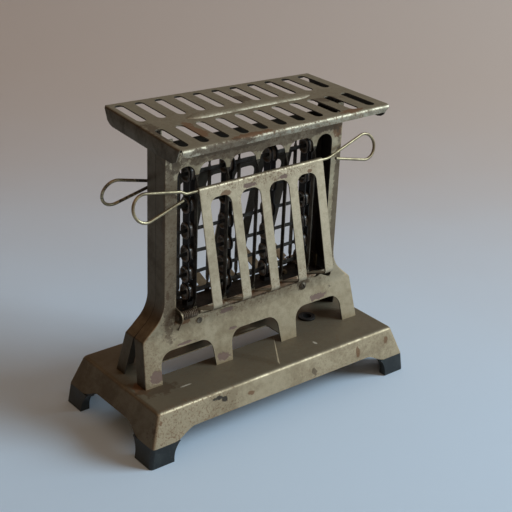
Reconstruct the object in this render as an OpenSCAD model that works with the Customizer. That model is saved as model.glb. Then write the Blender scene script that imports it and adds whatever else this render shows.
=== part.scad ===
// Drop side toaster of the nickelled sheet steel kind: a narrow two part body over a pressed base,
// two spring closed flip doors that drop outwards, a warming rack on top and an open ribbon element.
// Millimetres, +X along the toaster, -Y towards the front door, +Z up, origin under the middle of
// the base on the surface it stands on. The rear half is the front half turned half a turn.

/* [Sheet and wire] */
// Thickness of the pressed sheet
sheet = 0.8; // [0.6:0.1:0.9]
// Radius of the door handle wire
wire_r = 1.0; // [0.8:0.1:1.1]
// Radius of the hinge pins
pin_r = 1.2; // [1.0:0.1:1.3]
// Radial running clearance of a door on its pin
pin_play = 0.05; // [0.03:0.01:0.08]

/* [Base] */
// Half length of the flat deck
deck_half_x = 100; // [98:1:102]
// Half depth of the flat deck
deck_half_y = 44.3; // [43:0.1:46]
// Half length of the skirt at its lower corners
skirt_half_x = 107.8; // [106:0.1:109]
// Half depth of the skirt at its lower corners
skirt_half_y = 50.2; // [49:0.1:50.6]
// Height of the deck's top face
deck_z = 34.8; // [34:0.1:36]
// Height of the skirt's lower edge at the feet
skirt_low_z = 13.6; // [13:0.1:15]
// Height of the skirt's lower edge between the feet
skirt_mid_z = 19.5; // [18:0.1:21]
// Radius of the bend between deck and skirt
deck_edge_r = 3.0; // [2.6:0.1:3.6]
// Half width of the crumb slot in the deck
slot_half_y = 7.3; // [6:0.1:8]
// Height of the pressed triangles on the deck
facet_h = 1.0; // [0.8:0.1:1.2]

/* [Feet] */
// Half length over the feet at the floor
foot_half_x = 110; // [109:0.5:111]
// Half depth over the feet at the floor
foot_half_y = 50.9; // [50.4:0.1:51.4]
// Length of each foot wing at the floor
foot_wing = 18.1; // [16:0.1:20]
// Wall of a foot
foot_wall = 3.5; // [3:0.1:4]

/* [Body] */
// Half width of the body column
body_half_x = 72; // [71:0.5:73]
// Half depth of the body column
body_half_y = 9.9; // [9.5:0.1:10.2]
// Height of the panels' top edge between their end ears
panel_top_z = 187; // [184:0.5:190]
// Height of the body's end walls
wall_top_z = 197; // [195:0.5:199]
// Half width of the body at its shoulders
shoulder_half_x = 88.6; // [88:0.1:89]
// Half width of the body at the deck
leg_half_x = 91.3; // [91:0.1:92]
// Radius of the concave flare above the shoulders
flare_r = 22; // [21.5:0.1:22.5]
// Height at which the flare starts
flare_z = 89; // [88:0.5:90]
// Height of the crease where the legs splay outwards
crease_z = 66; // [65:0.5:67]
// Half depth over the splayed legs at the deck
leg_half_y = 17.45; // [16:0.05:18]

/* [Windows] */
// Half width of the guarded window
window_half_x = 63; // [62.5:0.1:63.5]
// Lowest height of the guarded window
window_low_z = 72.3; // [72:0.1:73]
// Highest height of the guarded window
window_high_z = 177.5; // [176:0.5:179]
// Spacing of the guard bars
bar_pitch = 24; // [23.5:0.1:24.3]
// Width of a guard bar strip
bar_w = 3.0; // [2.6:0.1:3.2]
// Height of the tops of the leg windows
leg_window_z = 54.6; // [53:0.1:56]

/* [Doors] */
// Sideways shift of a door away from its spring
door_shift = 0.6; // [0:0.1:1]
// Half width of a door
door_half_x = 50.5; // [50:0.1:51]
// Spacing of the door's slats
slat_pitch = 23.45; // [23:0.05:23.7]
// Width of a slat
slat_w = 7; // [6.6:0.1:7.6]
// Height of the windows' tops in the door
door_window_z = 155.6; // [154:0.1:156]
// Depth of the hinge axis in front of the middle
hinge_y = 13.3; // [13.2:0.1:13.6]
// Height of the hinge axis
hinge_z = 77.5; // [77:0.1:78]
// Depth of the handle wire's axis in front of the middle
rail_y = 13.3; // [13.2:0.1:13.6]
// Height of the handle wire's axis
rail_z = 161.2; // [160:0.1:162]
// Depth of the slats' lower corner in front of the middle
toe_y = 33; // [32:0.1:34]
// Height of the slats' lower corner
toe_z = 87.6; // [87:0.1:88.5]
// How far the hinge barrel stands back from the door's edge beside the spring
spring_room = 2.4; // [2:0.1:2.6]
// Radius of the loop's round end, at the wire's axis
loop_r = 8.8; // [8:0.1:9.5]

/* [Springs] */
// Turns of a door spring
spring_turns = 8; // [6:1:8]
// Radius of the spring's coil at its wire's axis
spring_coil_r = 2.55; // [2.5:0.05:2.7]
// Radius of the spring wire
spring_wire_r = 0.45; // [0.4:0.05:0.45]

/* [Rack] */
// Half length of the rack
rack_half_x = 83; // [82:0.1:84]
// Half depth of the rack
rack_half_y = 41.7; // [41.5:0.1:43]
// Height of the rack's top face
rack_z = 203.3; // [203:0.1:205]
// Height of the turned down ends
rack_flap = 10.8; // [9:0.1:11]
// Height of the long lips
rack_lip = 4.8; // [4.6:0.1:6]
// Spacing of the rack slots
rack_slot_pitch = 14.76; // [14:0.02:14.8]
// Sideways shift of the rack's slots
rack_slot_shift = -2.1; // [-2.2:0.1:0]
// Width of a rack slot
rack_slot_w = 6.4; // [6:0.1:7]

/* [Element] */
// Heights of the six rows of insulators
row_z = [86, 98.8, 113.4, 129.4, 146.9, 168.2];
// Places of the four posts
post_x = [-49.2, -19.5, 15.6, 47.2];
// Distance between a post's two plates
post_gap = 4.2; // [4:0.1:4.6]
// Height of the ribbon
ribbon_h = 2.8; // [2.4:0.1:3]
// Thickness of the ribbon
ribbon_t = 0.6; // [0.5:0.1:0.7]
// Height of the tray below the element
tray_z = 76.2; // [76:0.1:76.4]
// Height of the plate above the element
cap_z = 180.2; // [179:0.1:181]

/* [Hidden] */
$fn = 48;

seam_gap = 0.15;                                   // half the gap between the two body halves
tangent_turn = 48;                                 // turn of the flare before its straight slope
flare_x = body_half_x + flare_r;                   // axis of the flare
slope_x = flare_x - flare_r * cos(tangent_turn);   // where the flare runs into the slope
slope_z = flare_z - flare_r * sin(tangent_turn);
shoulder_z = slope_z - (shoulder_half_x - slope_x) * tan(90 - tangent_turn);
ear_half_x = 66.5;                                 // inner side of the ears above the panel top
ear_r = 5;
web_r = 7;                                         // corner radius of a window bay
bay_half = (bar_pitch - bar_w) / 2;
bar_x = [for (i = [-2 : 2]) i * bar_pitch];
bar_low_z = window_low_z + web_r;
bar_high_z = window_high_z - web_r;
bar_twist_h = 6;                                   // height over which a bar turns edge on
leg_edge_x = [20.6, 34.7, 78];                     // edges of the inner and outer legs at the deck
leg_window_r = 9;
lug_x = window_half_x;                             // inner face of a hinge lug
lug_r = 4.6;
barrel_r = pin_r + pin_play + sheet;               // outer radius of the rolled hinge
roll_r = wire_r + 0.05 + sheet;                    // outer radius of the roll round the wire
slat_x = [for (i = [-2 : 2]) i * slat_pitch + door_shift];
door_left_x = door_shift - door_half_x;
door_right_x = door_shift + door_half_x;
door_lean = atan((toe_y - rail_y - roll_r) / (rail_z - toe_z));
toe_r = 3;                                         // outer radius of the bend at a slat's foot
loop_half = [15.3, 12.9];                          // half angles between the arms of the loops
front_tips = [99.5, 97.5];                         // reach of each loop from the middle
rear_tips = [102, 92];
front_tilt = [2.7, -3.9];                          // how far each loop points up
rear_tilt = [-0.8, -3.9];
join_x = [59, 61.5];                               // where the wire runs into the loops' upper arms
spring_low_x = -(lug_x - 1.3);
barrel_left_x = door_left_x + spring_room;
spring_high_x = barrel_left_x - 1.9;
screw_x = 44.4;
screw_z = 68.4;
deck_slot_x = [-70, 28];
bushing_x = 59;
plate_half_y = 4.1;                                // half width of a post's plate
row_hole = [7.4, 9.6];                             // width and height of the insulators' holes
ribbon_end_x = 54.5;
tab_w = 6;

// draws a profile in X and Z and gives it depth from y0 to y1
module along_y(y0, y1) {
  translate([0, y1, 0]) rotate([90, 0, 0]) linear_extrude(y1 - y0) children();
}

// draws a profile in Y and Z and gives it length from x0 to x1
module along_x(x0, x1) {
  translate([x0, 0, 0]) rotate([90, 0, 90]) linear_extrude(x1 - x0) children();
}

module both_sides_x() {
  children();
  mirror([1, 0, 0]) children();
}

module half_turn() {
  rotate([0, 0, 180]) children();
}

module block(low, high) {
  translate(low) cube(high - low);
}

module rounded_rect(low, high, r) {
  translate([low[0] + r, low[1]]) square([high[0] - low[0] - 2 * r, high[1] - low[1]]);
  translate([low[0], low[1] + r]) square([high[0] - low[0], high[1] - low[1] - 2 * r]);
  for (x = [low[0] + r, high[0] - r], z = [low[1] + r, high[1] - r]) translate([x, z]) circle(r);
}

// an upright oblong round the given centre
module oblong(w, h) {
  square([w, h - w], center = true);
  for (s = [-1, 1]) translate([0, s * (h - w) / 2]) circle(w / 2);
}

// one smooth step from a to b, with level ends
function ease(a, b, t) = a + (b - a) * (1 - cos(180 * t)) / 2;

/* base */

// the outer form of the pressed pan, or its inside when shrunk by a sheet
module pan_form(shrink, low_z) {
  drop = (skirt_half_x - deck_half_x) / (deck_z - skirt_low_z);
  drop_y = (skirt_half_y - deck_half_y) / (deck_z - skirt_low_z);
  reach = deck_z - low_z;
  r = deck_edge_r - shrink;
  hull() {
    translate([0, 0, low_z]) linear_extrude(0.01) rounded_rect(
      [-deck_half_x - drop * reach + shrink, -deck_half_y - drop_y * reach + shrink],
      [deck_half_x + drop * reach - shrink, deck_half_y + drop_y * reach - shrink], 2.2 - shrink);
    // a faceted ball ends a little short of its pole, so it is set that much higher
    for (x = [-1, 1], y = [-1, 1])
      translate([x * (deck_half_x - 0.71 * deck_edge_r), y * (deck_half_y - 0.77 * deck_edge_r),
        deck_z - shrink - r * cos(180 / 32)]) sphere(r, $fn = 32);
  }
}

// what is cut from under the skirt: level in the middle, with an ogee down to each foot
module skirt_arch(flat_half, foot_half) {
  steps = 10;
  rise = [for (i = [0 : steps])
    [flat_half + (foot_half - flat_half) * i / steps, ease(skirt_mid_z, skirt_low_z, i / steps)]];
  polygon(concat([[-foot_half, 0], [foot_half, 0]], reversed(rise),
    [for (p = rise) [-p[0], p[1]]]));
}

module facet_outline(grow) {
  polygon([[-21.5 - grow, -slot_half_y - sheet], [21.5 + grow, -slot_half_y - sheet],
    [0, -41 - grow]]);
}

module deck_facet() {
  translate([0, 0, deck_z - 0.2]) linear_extrude(facet_h + 0.2) facet_outline(0);
}

module base_pan() {
  color([0.55, 0.52, 0.44]) difference() {
    union() {
      difference() {
        pan_form(0, skirt_low_z);
        pan_form(sheet, skirt_low_z - 1);
        along_y(-60, 60) skirt_arch(76, 91);
        along_x(-120, 120) skirt_arch(18, 34);
      }
      deck_facet();
      half_turn() deck_facet();
    }
    for (turn = [0, 180]) rotate([0, 0, turn]) {
      translate([0, 0, deck_z - sheet - 1]) linear_extrude(facet_h + 1) facet_outline(-1.2);
      for (x = leg_middles())
        block([x - tab_w / 2 - 0.2, -leg_half_y - 0.2, deck_z - 2],
          [x + tab_w / 2 + 0.2, -leg_half_y + sheet + 0.2, deck_z + 2]);
    }
    block([deck_slot_x[0], -slot_half_y, deck_z - 3], [deck_slot_x[1], slot_half_y, deck_z + 3]);
    translate([bushing_x, 0, deck_z - 3]) cylinder(h = 6, r = 5);
  }
}

function leg_middles() = [for (s = [-1, 1], x = [(leg_edge_x[0] + leg_edge_x[1]) / 2,
  (leg_edge_x[2] + leg_half_x) / 2]) s * x];

/* feet */

// one level of a foot's outer form, from the corner inwards
module foot_level(z, half_x, half_y, r) {
  translate([0, 0, z]) linear_extrude(0.01)
    rounded_rect([half_x - 34, half_y - 34], [half_x, half_y], r, $fn = 32);
}

// half size of the skirt's inner face at a height, along X or Y
function skirt_inside(z, top, low) = top + (low - top) * (deck_z - z) / (deck_z - skirt_low_z)
  - sheet - 0.05;

// flush with the skirt's lower corner below it, and tucked behind the sheet above that
module foot_shell() {
  hull() {
    foot_level(0, foot_half_x, foot_half_y, 2.6);
    foot_level(skirt_low_z - 0.03, skirt_half_x, skirt_half_y, 2.2);
  }
  hull() for (z = [skirt_low_z - 1, 27])
    foot_level(z, skirt_inside(z, deck_half_x, skirt_half_x),
      skirt_inside(z, deck_half_y, skirt_half_y), 4);
}

// the concave end of a foot wing that starts at reach along the floor
module foot_cove(reach) {
  translate([reach - 15.6, 2]) circle(15.6);
  translate([reach - 50, -1]) square([50, 3]);
  translate([reach - 50, -1]) square([40.1, 40]);
}

// rear right foot: two wings under the skirt's corner and a web for its screw
module foot() {
  color([0.1, 0.1, 0.1]) difference() {
    foot_shell();
    difference() {
      block([-1, -1, -1], [foot_half_x - foot_wall - 3.4, foot_half_y - foot_wall - 2.2, 40]);
      block([86, 28, 22], [120, 60, 25]);
    }
    along_y(-70, 70) foot_cove(foot_half_x - foot_wing);
    along_x(-1, 70 + foot_half_x) foot_cove(foot_half_y - foot_wing);
    translate([foot_screw_x, foot_screw_y, 10]) cylinder(h = 30, r = 1.7);
  }
}

foot_screw_x = 96.5;
foot_screw_y = 38.5;

module foot_front_right() { mirror([0, 1, 0]) foot(); }
module foot_front_left() { half_turn() foot(); }
module foot_rear_right() { foot(); }
module foot_rear_left() { mirror([1, 0, 0]) foot(); }

module each_foot_screw() {
  for (x = [-1, 1], y = [-1, 1]) translate([x * foot_screw_x, y * foot_screw_y, 0]) children();
}

module foot_bosses() {
  color([0.45, 0.43, 0.38]) intersection() {
    pan_form(sheet + 0.02, skirt_low_z);
    each_foot_screw() translate([0, 0, 25]) difference() {
      cylinder(h = deck_z - 25, r = 3.4);
      translate([0, 0, -1]) cylinder(h = 8, r = 1.55);
    }
  }
}

module foot_screws() {
  color([0.4, 0.38, 0.33]) each_foot_screw() difference() {
    union() {
      translate([0, 0, 20]) cylinder(h = 2, r = 3);
      translate([0, 0, 21]) cylinder(h = 9.5, r = 1.5);
    }
    block([-4, -0.4, 19], [4, 0.4, 20.8]);
  }
}

/* body */

// front view of the body, shrunk by inset; stretch draws it past its top and bottom edges
module body_outline(inset = 0, stretch = 0) {
  half = body_half_x - inset;
  low = deck_z - stretch;
  lean = (leg_half_x - shoulder_half_x) / (shoulder_z - deck_z);
  translate([-half, deck_z]) square([2 * half, wall_top_z + stretch - deck_z]);
  difference() {
    polygon([for (s = [1, -1]) for (p = s > 0 ? side_points(inset, low, lean)
      : reversed(side_points(inset, low, lean))) [s * p[0], p[1]]]);
    both_sides_x() translate([flare_x, flare_z]) circle(flare_r + inset, $fn = 96);
  }
}

// the right side of the flared part, from the deck up
function side_points(inset, low, lean) = [
  [leg_half_x - inset + lean * (deck_z - low), low],
  [shoulder_half_x - 0.96 * inset, shoulder_z - 0.48 * inset],
  [slope_x - sin(90 - tangent_turn) * inset, slope_z - cos(90 - tangent_turn) * inset],
  [slope_x - sin(90 - tangent_turn) * inset, flare_z]
];

function reversed(list) = [for (i = [len(list) - 1 : -1 : 0]) list[i]];

module guarded_window() {
  for (i = [-1 : 2]) translate([(i - 0.5) * bar_pitch, 0])
    rounded_rect([-bay_half, window_low_z], [bay_half, window_high_z], web_r);
  translate([-window_half_x, bar_low_z]) square([2 * window_half_x, bar_high_z - bar_low_z]);
  end_low = 2 * bar_pitch + bar_w / 2;
  both_sides_x() rounded_rect([end_low, window_low_z], [window_half_x, window_high_z], 6.5);
}

module leg_windows() {
  module opening(x0, x1) {
    slope = 1.5;
    polygon([[x0 - slope, deck_z - 1], [x1 + slope, deck_z - 1],
      [x1, leg_window_z - leg_window_r], [x0, leg_window_z - leg_window_r]]);
    translate([x0 + leg_window_r, leg_window_z - leg_window_r - 1])
      square([x1 - x0 - 2 * leg_window_r, leg_window_r + 1]);
    for (x = [x0 + leg_window_r, x1 - leg_window_r])
      translate([x, leg_window_z - leg_window_r]) circle(leg_window_r);
  }
  opening(-19.6, 19.6);
  both_sides_x() opening(36.2, 76.5);
}

// side view of one half, as a band from d0 to d1 behind its outer face
module side_band(d0, d1) {
  top = wall_top_z + 10;
  polygon([[-body_half_y + d0, top], [-body_half_y + d1, top], [-body_half_y + d1, crease_z],
    [-leg_half_y + d1, deck_z], [-leg_half_y + d0, deck_z], [-body_half_y + d0, crease_z]]);
}

module panel_sheet() {
  intersection() {
    along_y(-25, 0) difference() {
      body_outline();
      guarded_window();
      leg_windows();
      rounded_rect([-ear_half_x, panel_top_z], [ear_half_x, wall_top_z + 12], ear_r);
    }
    along_x(-100, 100) side_band(0, sheet);
  }
}

module panel_flanges() {
  intersection() {
    along_y(-25, 0) difference() {
      body_outline();
      body_outline(sheet, 3);
    }
    along_x(-100, 100) side_band(0, body_half_y - seam_gap);
  }
}

// the tongues that hold the rack up and are welded under it
module rack_tongues() {
  both_sides_x() {
    block([body_half_x - sheet, -4, wall_top_z - 2],
      [body_half_x, -seam_gap, rack_z - sheet]);
    block([body_half_x - 10, -4, rack_z - 2 * sheet], [body_half_x, -seam_gap, rack_z - sheet]);
  }
}

// the tabs that pass through the deck and are turned over under it
module leg_tabs() {
  for (x = leg_middles()) {
    block([x - tab_w / 2, -leg_half_y, deck_z - 2 * sheet],
      [x + tab_w / 2, -leg_half_y + sheet, deck_z + 0.2]);
    block([x - tab_w / 2, -leg_half_y, deck_z - 2 * sheet],
      [x + tab_w / 2, -leg_half_y + 5, deck_z - sheet]);
  }
}

// the lugs bent out of the window's lower corners, which carry the hinge pin
module hinge_lugs() {
  for (x = [-lug_x - sheet, lug_x]) along_x(x, x + sheet) {
    translate([-hinge_y, hinge_z]) circle(lug_r);
    translate([-hinge_y, hinge_z - lug_r]) square([hinge_y - body_half_y + 0.4, 2 * lug_r]);
  }
}

module half_body() {
  difference() {
    union() {
      panel_sheet();
      panel_flanges();
      rack_tongues();
      leg_tabs();
      hinge_lugs();
    }
    translate([-80, -hinge_y, hinge_z]) rotate([0, 90, 0]) cylinder(h = 160, r = pin_r + 0.05);
    for (x = [-screw_x, screw_x])
      translate([x, 0, screw_z]) rotate([90, 0, 0]) cylinder(h = 20, r = 1.7);
  }
}

module front_panel() { color([0.66, 0.62, 0.52]) half_body(); }
module rear_panel() { color([0.6, 0.56, 0.47]) half_turn() half_body(); }

// five strips with their ends flat against the panel's webs and their middles turned edge on
module guard_bars() {
  middle_y = -body_half_y + sheet / 2;
  module strip(h, twist) {
    linear_extrude(h, twist = twist, slices = 6, segments = 4) square([bar_w, sheet], center = true);
  }
  for (x = bar_x) translate([x, middle_y, 0]) {
    translate([0, 0, bar_low_z]) strip(bar_twist_h, 90);
    translate([-sheet / 2, -bar_w / 2, bar_low_z + bar_twist_h])
      cube([sheet, bar_w, bar_high_z - bar_low_z - 2 * bar_twist_h]);
    translate([0, 0, bar_high_z]) mirror([0, 0, 1]) strip(bar_twist_h, 90);
  }
}

module front_guard_bars() { color([0.42, 0.38, 0.3]) guard_bars(); }
module rear_guard_bars() { color([0.42, 0.38, 0.3]) half_turn() guard_bars(); }

/* rack */

rack_bend = 2.2;                                    // outer radius of the rack's long bends
bead_half = 49.5;                                  // half length of the bead at the plate's face
bead_half_w = 4.2;
bead_h = 2;
bead_r = (bead_half_w * bead_half_w + bead_h * bead_h) / (2 * bead_h);

// the end's outline as seen along X: level top, long round lower corners
module flap_outline() {
  rounded_rect([-rack_half_y + 0.4, rack_z - rack_flap], [rack_half_y - 0.4, rack_z + 16], 9);
}

module rack_profile(shrink) {
  half = rack_half_y - shrink;
  r = rack_bend - shrink;
  low = rack_z - rack_flap - 1;
  translate([-half, low]) square([2 * half, rack_bend + rack_flap + 1 - 2 * rack_bend]);
  translate([-half + r, low]) square([2 * (half - r), rack_z - shrink - low]);
  for (s = [-1, 1]) translate([s * (half - r), rack_z - rack_bend]) circle(r);
}

module rack_shell() {
  difference() {
    along_x(-rack_half_x, rack_half_x) rack_profile(0);
    along_x(-rack_half_x + sheet, rack_half_x - sheet) rack_profile(sheet);
    // the long lips end above the flaps' lower edges
    block([-rack_half_x + sheet, -60, rack_z - rack_flap - 2],
      [rack_half_x - sheet, 60, rack_z - rack_lip]);
    // round lower corners of the flaps
    both_sides_x() along_x(rack_half_x - sheet - 0.01, rack_half_x + 1) difference() {
      translate([-60, rack_z - rack_flap - 2]) square([120, rack_flap - rack_bend]);
      flap_outline();
    }
  }
}

module rack_slots() {
  inner = 7.2;
  outer = 36.7;
  for (i = [-5 : 5], s = [-1, 1])
    translate([rack_slot_shift + i * rack_slot_pitch, s * (inner + outer) / 2, rack_z - 2])
      linear_extrude(4) oblong(rack_slot_w, outer - inner);
}

// shallow round bead along the rack, with round ends
module rack_bead(r) {
  end_x = bead_half - bead_half_w;
  translate([-end_x, 0, rack_z + bead_h - bead_r]) rotate([0, 90, 0]) cylinder(h = 2 * end_x, r = r);
  for (s = [-1, 1]) translate([s * end_x, 0, rack_z + bead_h - bead_r]) sphere(r);
}

module top_rack() {
  color([0.45, 0.44, 0.38]) difference() {
    union() {
      difference() {
        rack_shell();
        rack_slots();
      }
      intersection() {
        rack_bead(bead_r);
        block([-60, -10, rack_z - sheet], [60, 10, rack_z + 5]);
      }
    }
    rack_bead(bead_r - sheet);
  }
}

/* doors */

// the slats' course in Y and Z: down from the roll, round the toe and back to the hinge
toe_turn = 90 + door_lean - ledge_fall();
function ledge_fall() = atan((toe_z - hinge_z - barrel_r) / (toe_y - hinge_y));

// centre of the toe's bend, found from its outer corner and the two faces that meet there
function toe_centre() = let (
    half = (180 - toe_turn) / 2,
    reach = toe_r / sin(half),
    up = 90 - door_lean,
    back = -ledge_fall(),
    mid = (up + back) / 2)
  [-toe_y + reach * cos(mid), toe_z - ledge_drop() + reach * sin(mid)];

function ledge_drop() = 0.6;

// an arc's points about c from angle a to angle b
function arc(c, r, a, b, steps) = [for (i = [0 : steps])
  let (t = a + (b - a) * i / steps) c + r * [cos(t), sin(t)]];

module slat_profile() {
  c = toe_centre();
  start = 180 - door_lean;
  stop = 270 - ledge_fall();
  polygon(concat(
    [[-rail_y - roll_r, rail_z]],
    arc(c, toe_r, start, stop, 6),
    [[-hinge_y - 0.4, hinge_z + barrel_r - sheet + 0.25], [-hinge_y - 0.4, hinge_z + barrel_r]],
    arc(c, toe_r - sheet, stop, start, 6),
    [[-rail_y - roll_r + sheet, rail_z]]
  ));
}

module door_windows() {
  r = 6;
  for (i = [0 : 3]) {
    x0 = slat_x[i] + slat_w / 2;
    x1 = slat_x[i + 1] - slat_w / 2;
    translate([x0, 60]) square([x1 - x0, door_window_z - r - 60]);
    translate([x0 + r, 60]) square([x1 - x0 - 2 * r, door_window_z - 60]);
    for (x = [x0 + r, x1 - r]) translate([x, door_window_z - r]) circle(r);
  }
}

module door() {
  difference() {
    union() {
      difference() {
        along_x(door_left_x, door_right_x) slat_profile();
        along_y(-40, -hinge_y - barrel_r - 0.6) door_windows();
      }
      translate([barrel_left_x, -hinge_y, hinge_z]) rotate([0, 90, 0])
        cylinder(h = door_right_x - barrel_left_x, r = barrel_r);
      translate([door_left_x, -rail_y, rail_z]) rotate([0, 90, 0])
        cylinder(h = 2 * door_half_x, r = roll_r);
    }
    translate([-80, -hinge_y, hinge_z]) rotate([0, 90, 0])
      cylinder(h = 160, r = pin_r + pin_play);
    // the corner that is cut away round the spring
    translate([-80, -hinge_y, hinge_z]) rotate([0, 90, 0])
      cylinder(h = 80 + barrel_left_x, r = spring_coil_r + spring_wire_r + 0.4);
    translate([-80, -rail_y, rail_z]) rotate([0, 90, 0]) cylinder(h = 160, r = wire_r + 0.05);
  }
}

module front_door() { color([0.72, 0.68, 0.58]) door(); }
module rear_door() { color([0.64, 0.6, 0.5]) half_turn() door(); }

// the axis of one loop, from the rail out to its free end, in the door's own plane: the wire runs
// into the upper arm at join, and the lower arm ends free below that place
function loop_path(tip, half, tilt, join) = let (
    reach = loop_r / sin(half),
    knee = tip - loop_r - reach,
    lead = join - knee,
    free = max(lead, 6.7),
    turn = 90 + half,
    arms = concat([[lead, tan(half) * lead]], arc([reach, 0], loop_r, turn, -turn, 22),
      [[free, -tan(half) * free]]))
  concat([[join - 2.6, 0]], [for (p = arms) [knee + p[0] * cos(tilt) - p[1] * sin(tilt),
    p[0] * sin(tilt) + p[1] * cos(tilt)]]);

// the wires were bent by hand, so each of the two has its own reach and tilt
module handle_wire(tips, tilt) {
  right = loop_path(tips[0], loop_half[0], tilt[0], join_x[0]);
  left = loop_path(tips[1], loop_half[1], tilt[1], join_x[1]);
  path = concat([for (p = reversed(left)) [-p[0], 0, p[1]]], [for (p = right) [p[0], 0, p[1]]]);
  translate([0, -rail_y, rail_z]) rotate([-door_lean, 0, 0])
    tube(path, [for (p = path) [0, 1, 0]], wire_r, 10);
}

module front_handle_wire() { color([0.6, 0.55, 0.4]) handle_wire(front_tips, front_tilt); }
module rear_handle_wire() {
  color([0.4, 0.36, 0.28]) half_turn() handle_wire(rear_tips, rear_tilt);
}

module hinge_pin() {
  reach = lug_x + sheet;
  translate([0, -hinge_y, hinge_z]) rotate([0, 90, 0]) {
    translate([0, 0, -reach - 0.7]) cylinder(h = 2 * reach + 1.4, r = pin_r);
    for (s = [-1, 1]) translate([0, 0, s * (reach + 0.45) - 0.45]) cylinder(h = 0.9, r = 2);
  }
}

module front_hinge_pin() { color([0.35, 0.3, 0.24]) hinge_pin(); }
module rear_hinge_pin() { color([0.35, 0.3, 0.24]) half_turn() hinge_pin(); }

/* springs */

coil_rings = 8;
coil_turns = spring_turns + 0.25;
coil_low_x = spring_low_x + spring_wire_r;
coil_high_x = spring_high_x - spring_wire_r;

// axis points: the leg that bears on the panel, then the curls, then the end at the barrel
function coil_point(i) = let (
    t = i / (coil_rings * coil_turns),
    a = 180 - 360 * coil_turns * t)
  [coil_low_x + (coil_high_x - coil_low_x) * t, -hinge_y + spring_coil_r * cos(a),
    hinge_z + spring_coil_r * sin(a)];
coil_count = floor(coil_rings * coil_turns);
leg_points = [
  [coil_low_x - 0.1, -10.45, 66.2],
  [coil_low_x - 0.1, -10.7, 67.2],
  [coil_low_x - 0.1, -hinge_y - spring_coil_r + 0.95, 74.6]
];
coil_points = [for (i = [0 : coil_count]) coil_point(i)];
last_point = coil_points[coil_count];
end_points = [last_point + [0.45, 0.9, -0.1], last_point + [1.35, 1.15, -0.2]];
spring_path = concat(leg_points, coil_points, end_points);

function unit(v) = v / norm(v);
function heading(path, i) = unit(path[min(i + 1, len(path) - 1)] - path[max(i - 1, 0)]);

// a ring of side points square to the path, kept steady by a direction that is not along it
function ring(path, i, out, r, sides) = let (
    d = heading(path, i),
    flat = unit(out - d * (out * d)),
    side = cross(d, flat))
  [for (k = [0 : sides - 1]) path[i] + r * (cos(360 * k / sides) * flat
    + sin(360 * k / sides) * side)];

module tube(path, outs, r, sides) {
  n = len(path);
  points = [for (i = [0 : n - 1]) each ring(path, i, outs[i], r, sides)];
  walls = [for (i = [0 : n - 2], k = [0 : sides - 1]) let (
      a = i * sides + k,
      b = i * sides + (k + 1) % sides)
    each [[a, a + sides, b], [b, a + sides, b + sides]]];
  first_cap = [for (k = [1 : sides - 2]) [0, k, k + 1]];
  last = (n - 1) * sides;
  last_cap = [for (k = [1 : sides - 2]) [last, last + k + 1, last + k]];
  polyhedron(points, concat(walls, first_cap, last_cap));
}

// least gap between stretches of wire that are half a turn or more apart
gaps = [for (i = [0 : len(spring_path) - 1], j = [i + 5 : 1 : len(spring_path) - 1])
  norm(spring_path[i] - spring_path[j]) - 2 * spring_wire_r];
echo(least_spring_gap = min(gaps));

module door_spring() {
  outs = [for (p = spring_path) p - [p[0], -hinge_y, hinge_z]];
  tube(spring_path, outs, spring_wire_r, 6);
}

module front_door_spring() { color([0.25, 0.21, 0.17]) door_spring(); }
module rear_door_spring() { color([0.25, 0.21, 0.17]) half_turn() door_spring(); }

/* element */

// a shallow tray between the panels, with flanges turned down inside them
module element_tray() {
  inner_y = body_half_y - sheet;
  color([0.3, 0.24, 0.19]) difference() {
    union() {
      block([-62, -inner_y, tray_z], [62, inner_y, tray_z + sheet]);
      for (s = [-1, 1]) translate([0, s * (inner_y - sheet / 2), 0])
        block([-62, -sheet / 2, 66.2], [62, sheet / 2, tray_z + sheet]);
    }
    for (x = post_x) post_tab_slots(x, tray_z);
    for (x = [-screw_x, screw_x])
      translate([x, 20, screw_z]) rotate([90, 0, 0]) cylinder(h = 40, r = 1.7);
    for (y = lead_y) block([lead_x - 0.5, y - 2, tray_z - 1], [lead_x + 1.1, y + 2, tray_z + 2]);
    for (x = terminal_x) translate([x, 0, tray_z - 1]) cylinder(h = 4, r = 1.7);
  }
}

module post_tab_slots(x, z) {
  for (dx = [0, post_gap])
    block([x + dx - 0.1, -1.6, z - 1], [x + dx + sheet + 0.1, 1.6, z + 2]);
}

module element_cap() {
  reach = body_half_x - sheet;
  color([0.25, 0.22, 0.18]) difference() {
    union() {
      block([-reach, -6, cap_z], [reach, 6, cap_z + sheet]);
      for (x = [-reach, reach - sheet]) block([x, -6, cap_z - 8], [x + sheet, 6, cap_z + sheet]);
    }
    for (x = post_x) post_tab_slots(x, cap_z);
  }
}

// one scalloped plate of a post, with a lobe round each insulator
module post_plate() {
  low = tray_z + sheet;
  along_x(0, sheet) difference() {
    union() {
      translate([-3.3, row_z[0]]) square([6.6, row_z[5] - row_z[0]]);
      for (z = row_z) translate([0, z]) oblong(2 * plate_half_y + 2.2, row_hole[1] + 2.4);
      translate([-2.6, low]) square([5.2, row_z[0] - low]);
      translate([-2.6, row_z[5]]) square([5.2, cap_z - row_z[5]]);
      translate([-1.5, tray_z - 0.6]) square([3, 2]);
      translate([-1.5, cap_z - 1]) square([3, sheet + 1.6]);
    }
    for (z = row_z) translate([0, z]) oblong(row_hole[0], row_hole[1]);
  }
}

module element_post(i) {
  color([0.12, 0.11, 0.1]) translate([post_x[i], 0, 0]) {
    post_plate();
    translate([post_gap, 0, 0]) post_plate();
    // the fold that joins the two plates above and below the rows
    for (z = [tray_z + sheet, cap_z - sheet - 2])
      block([0, -2.6, z], [post_gap + sheet, -1.8, z + 2]);
  }
}

module element_post_1() { element_post(0); }
module element_post_2() { element_post(1); }
module element_post_3() { element_post(2); }
module element_post_4() { element_post(3); }

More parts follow.
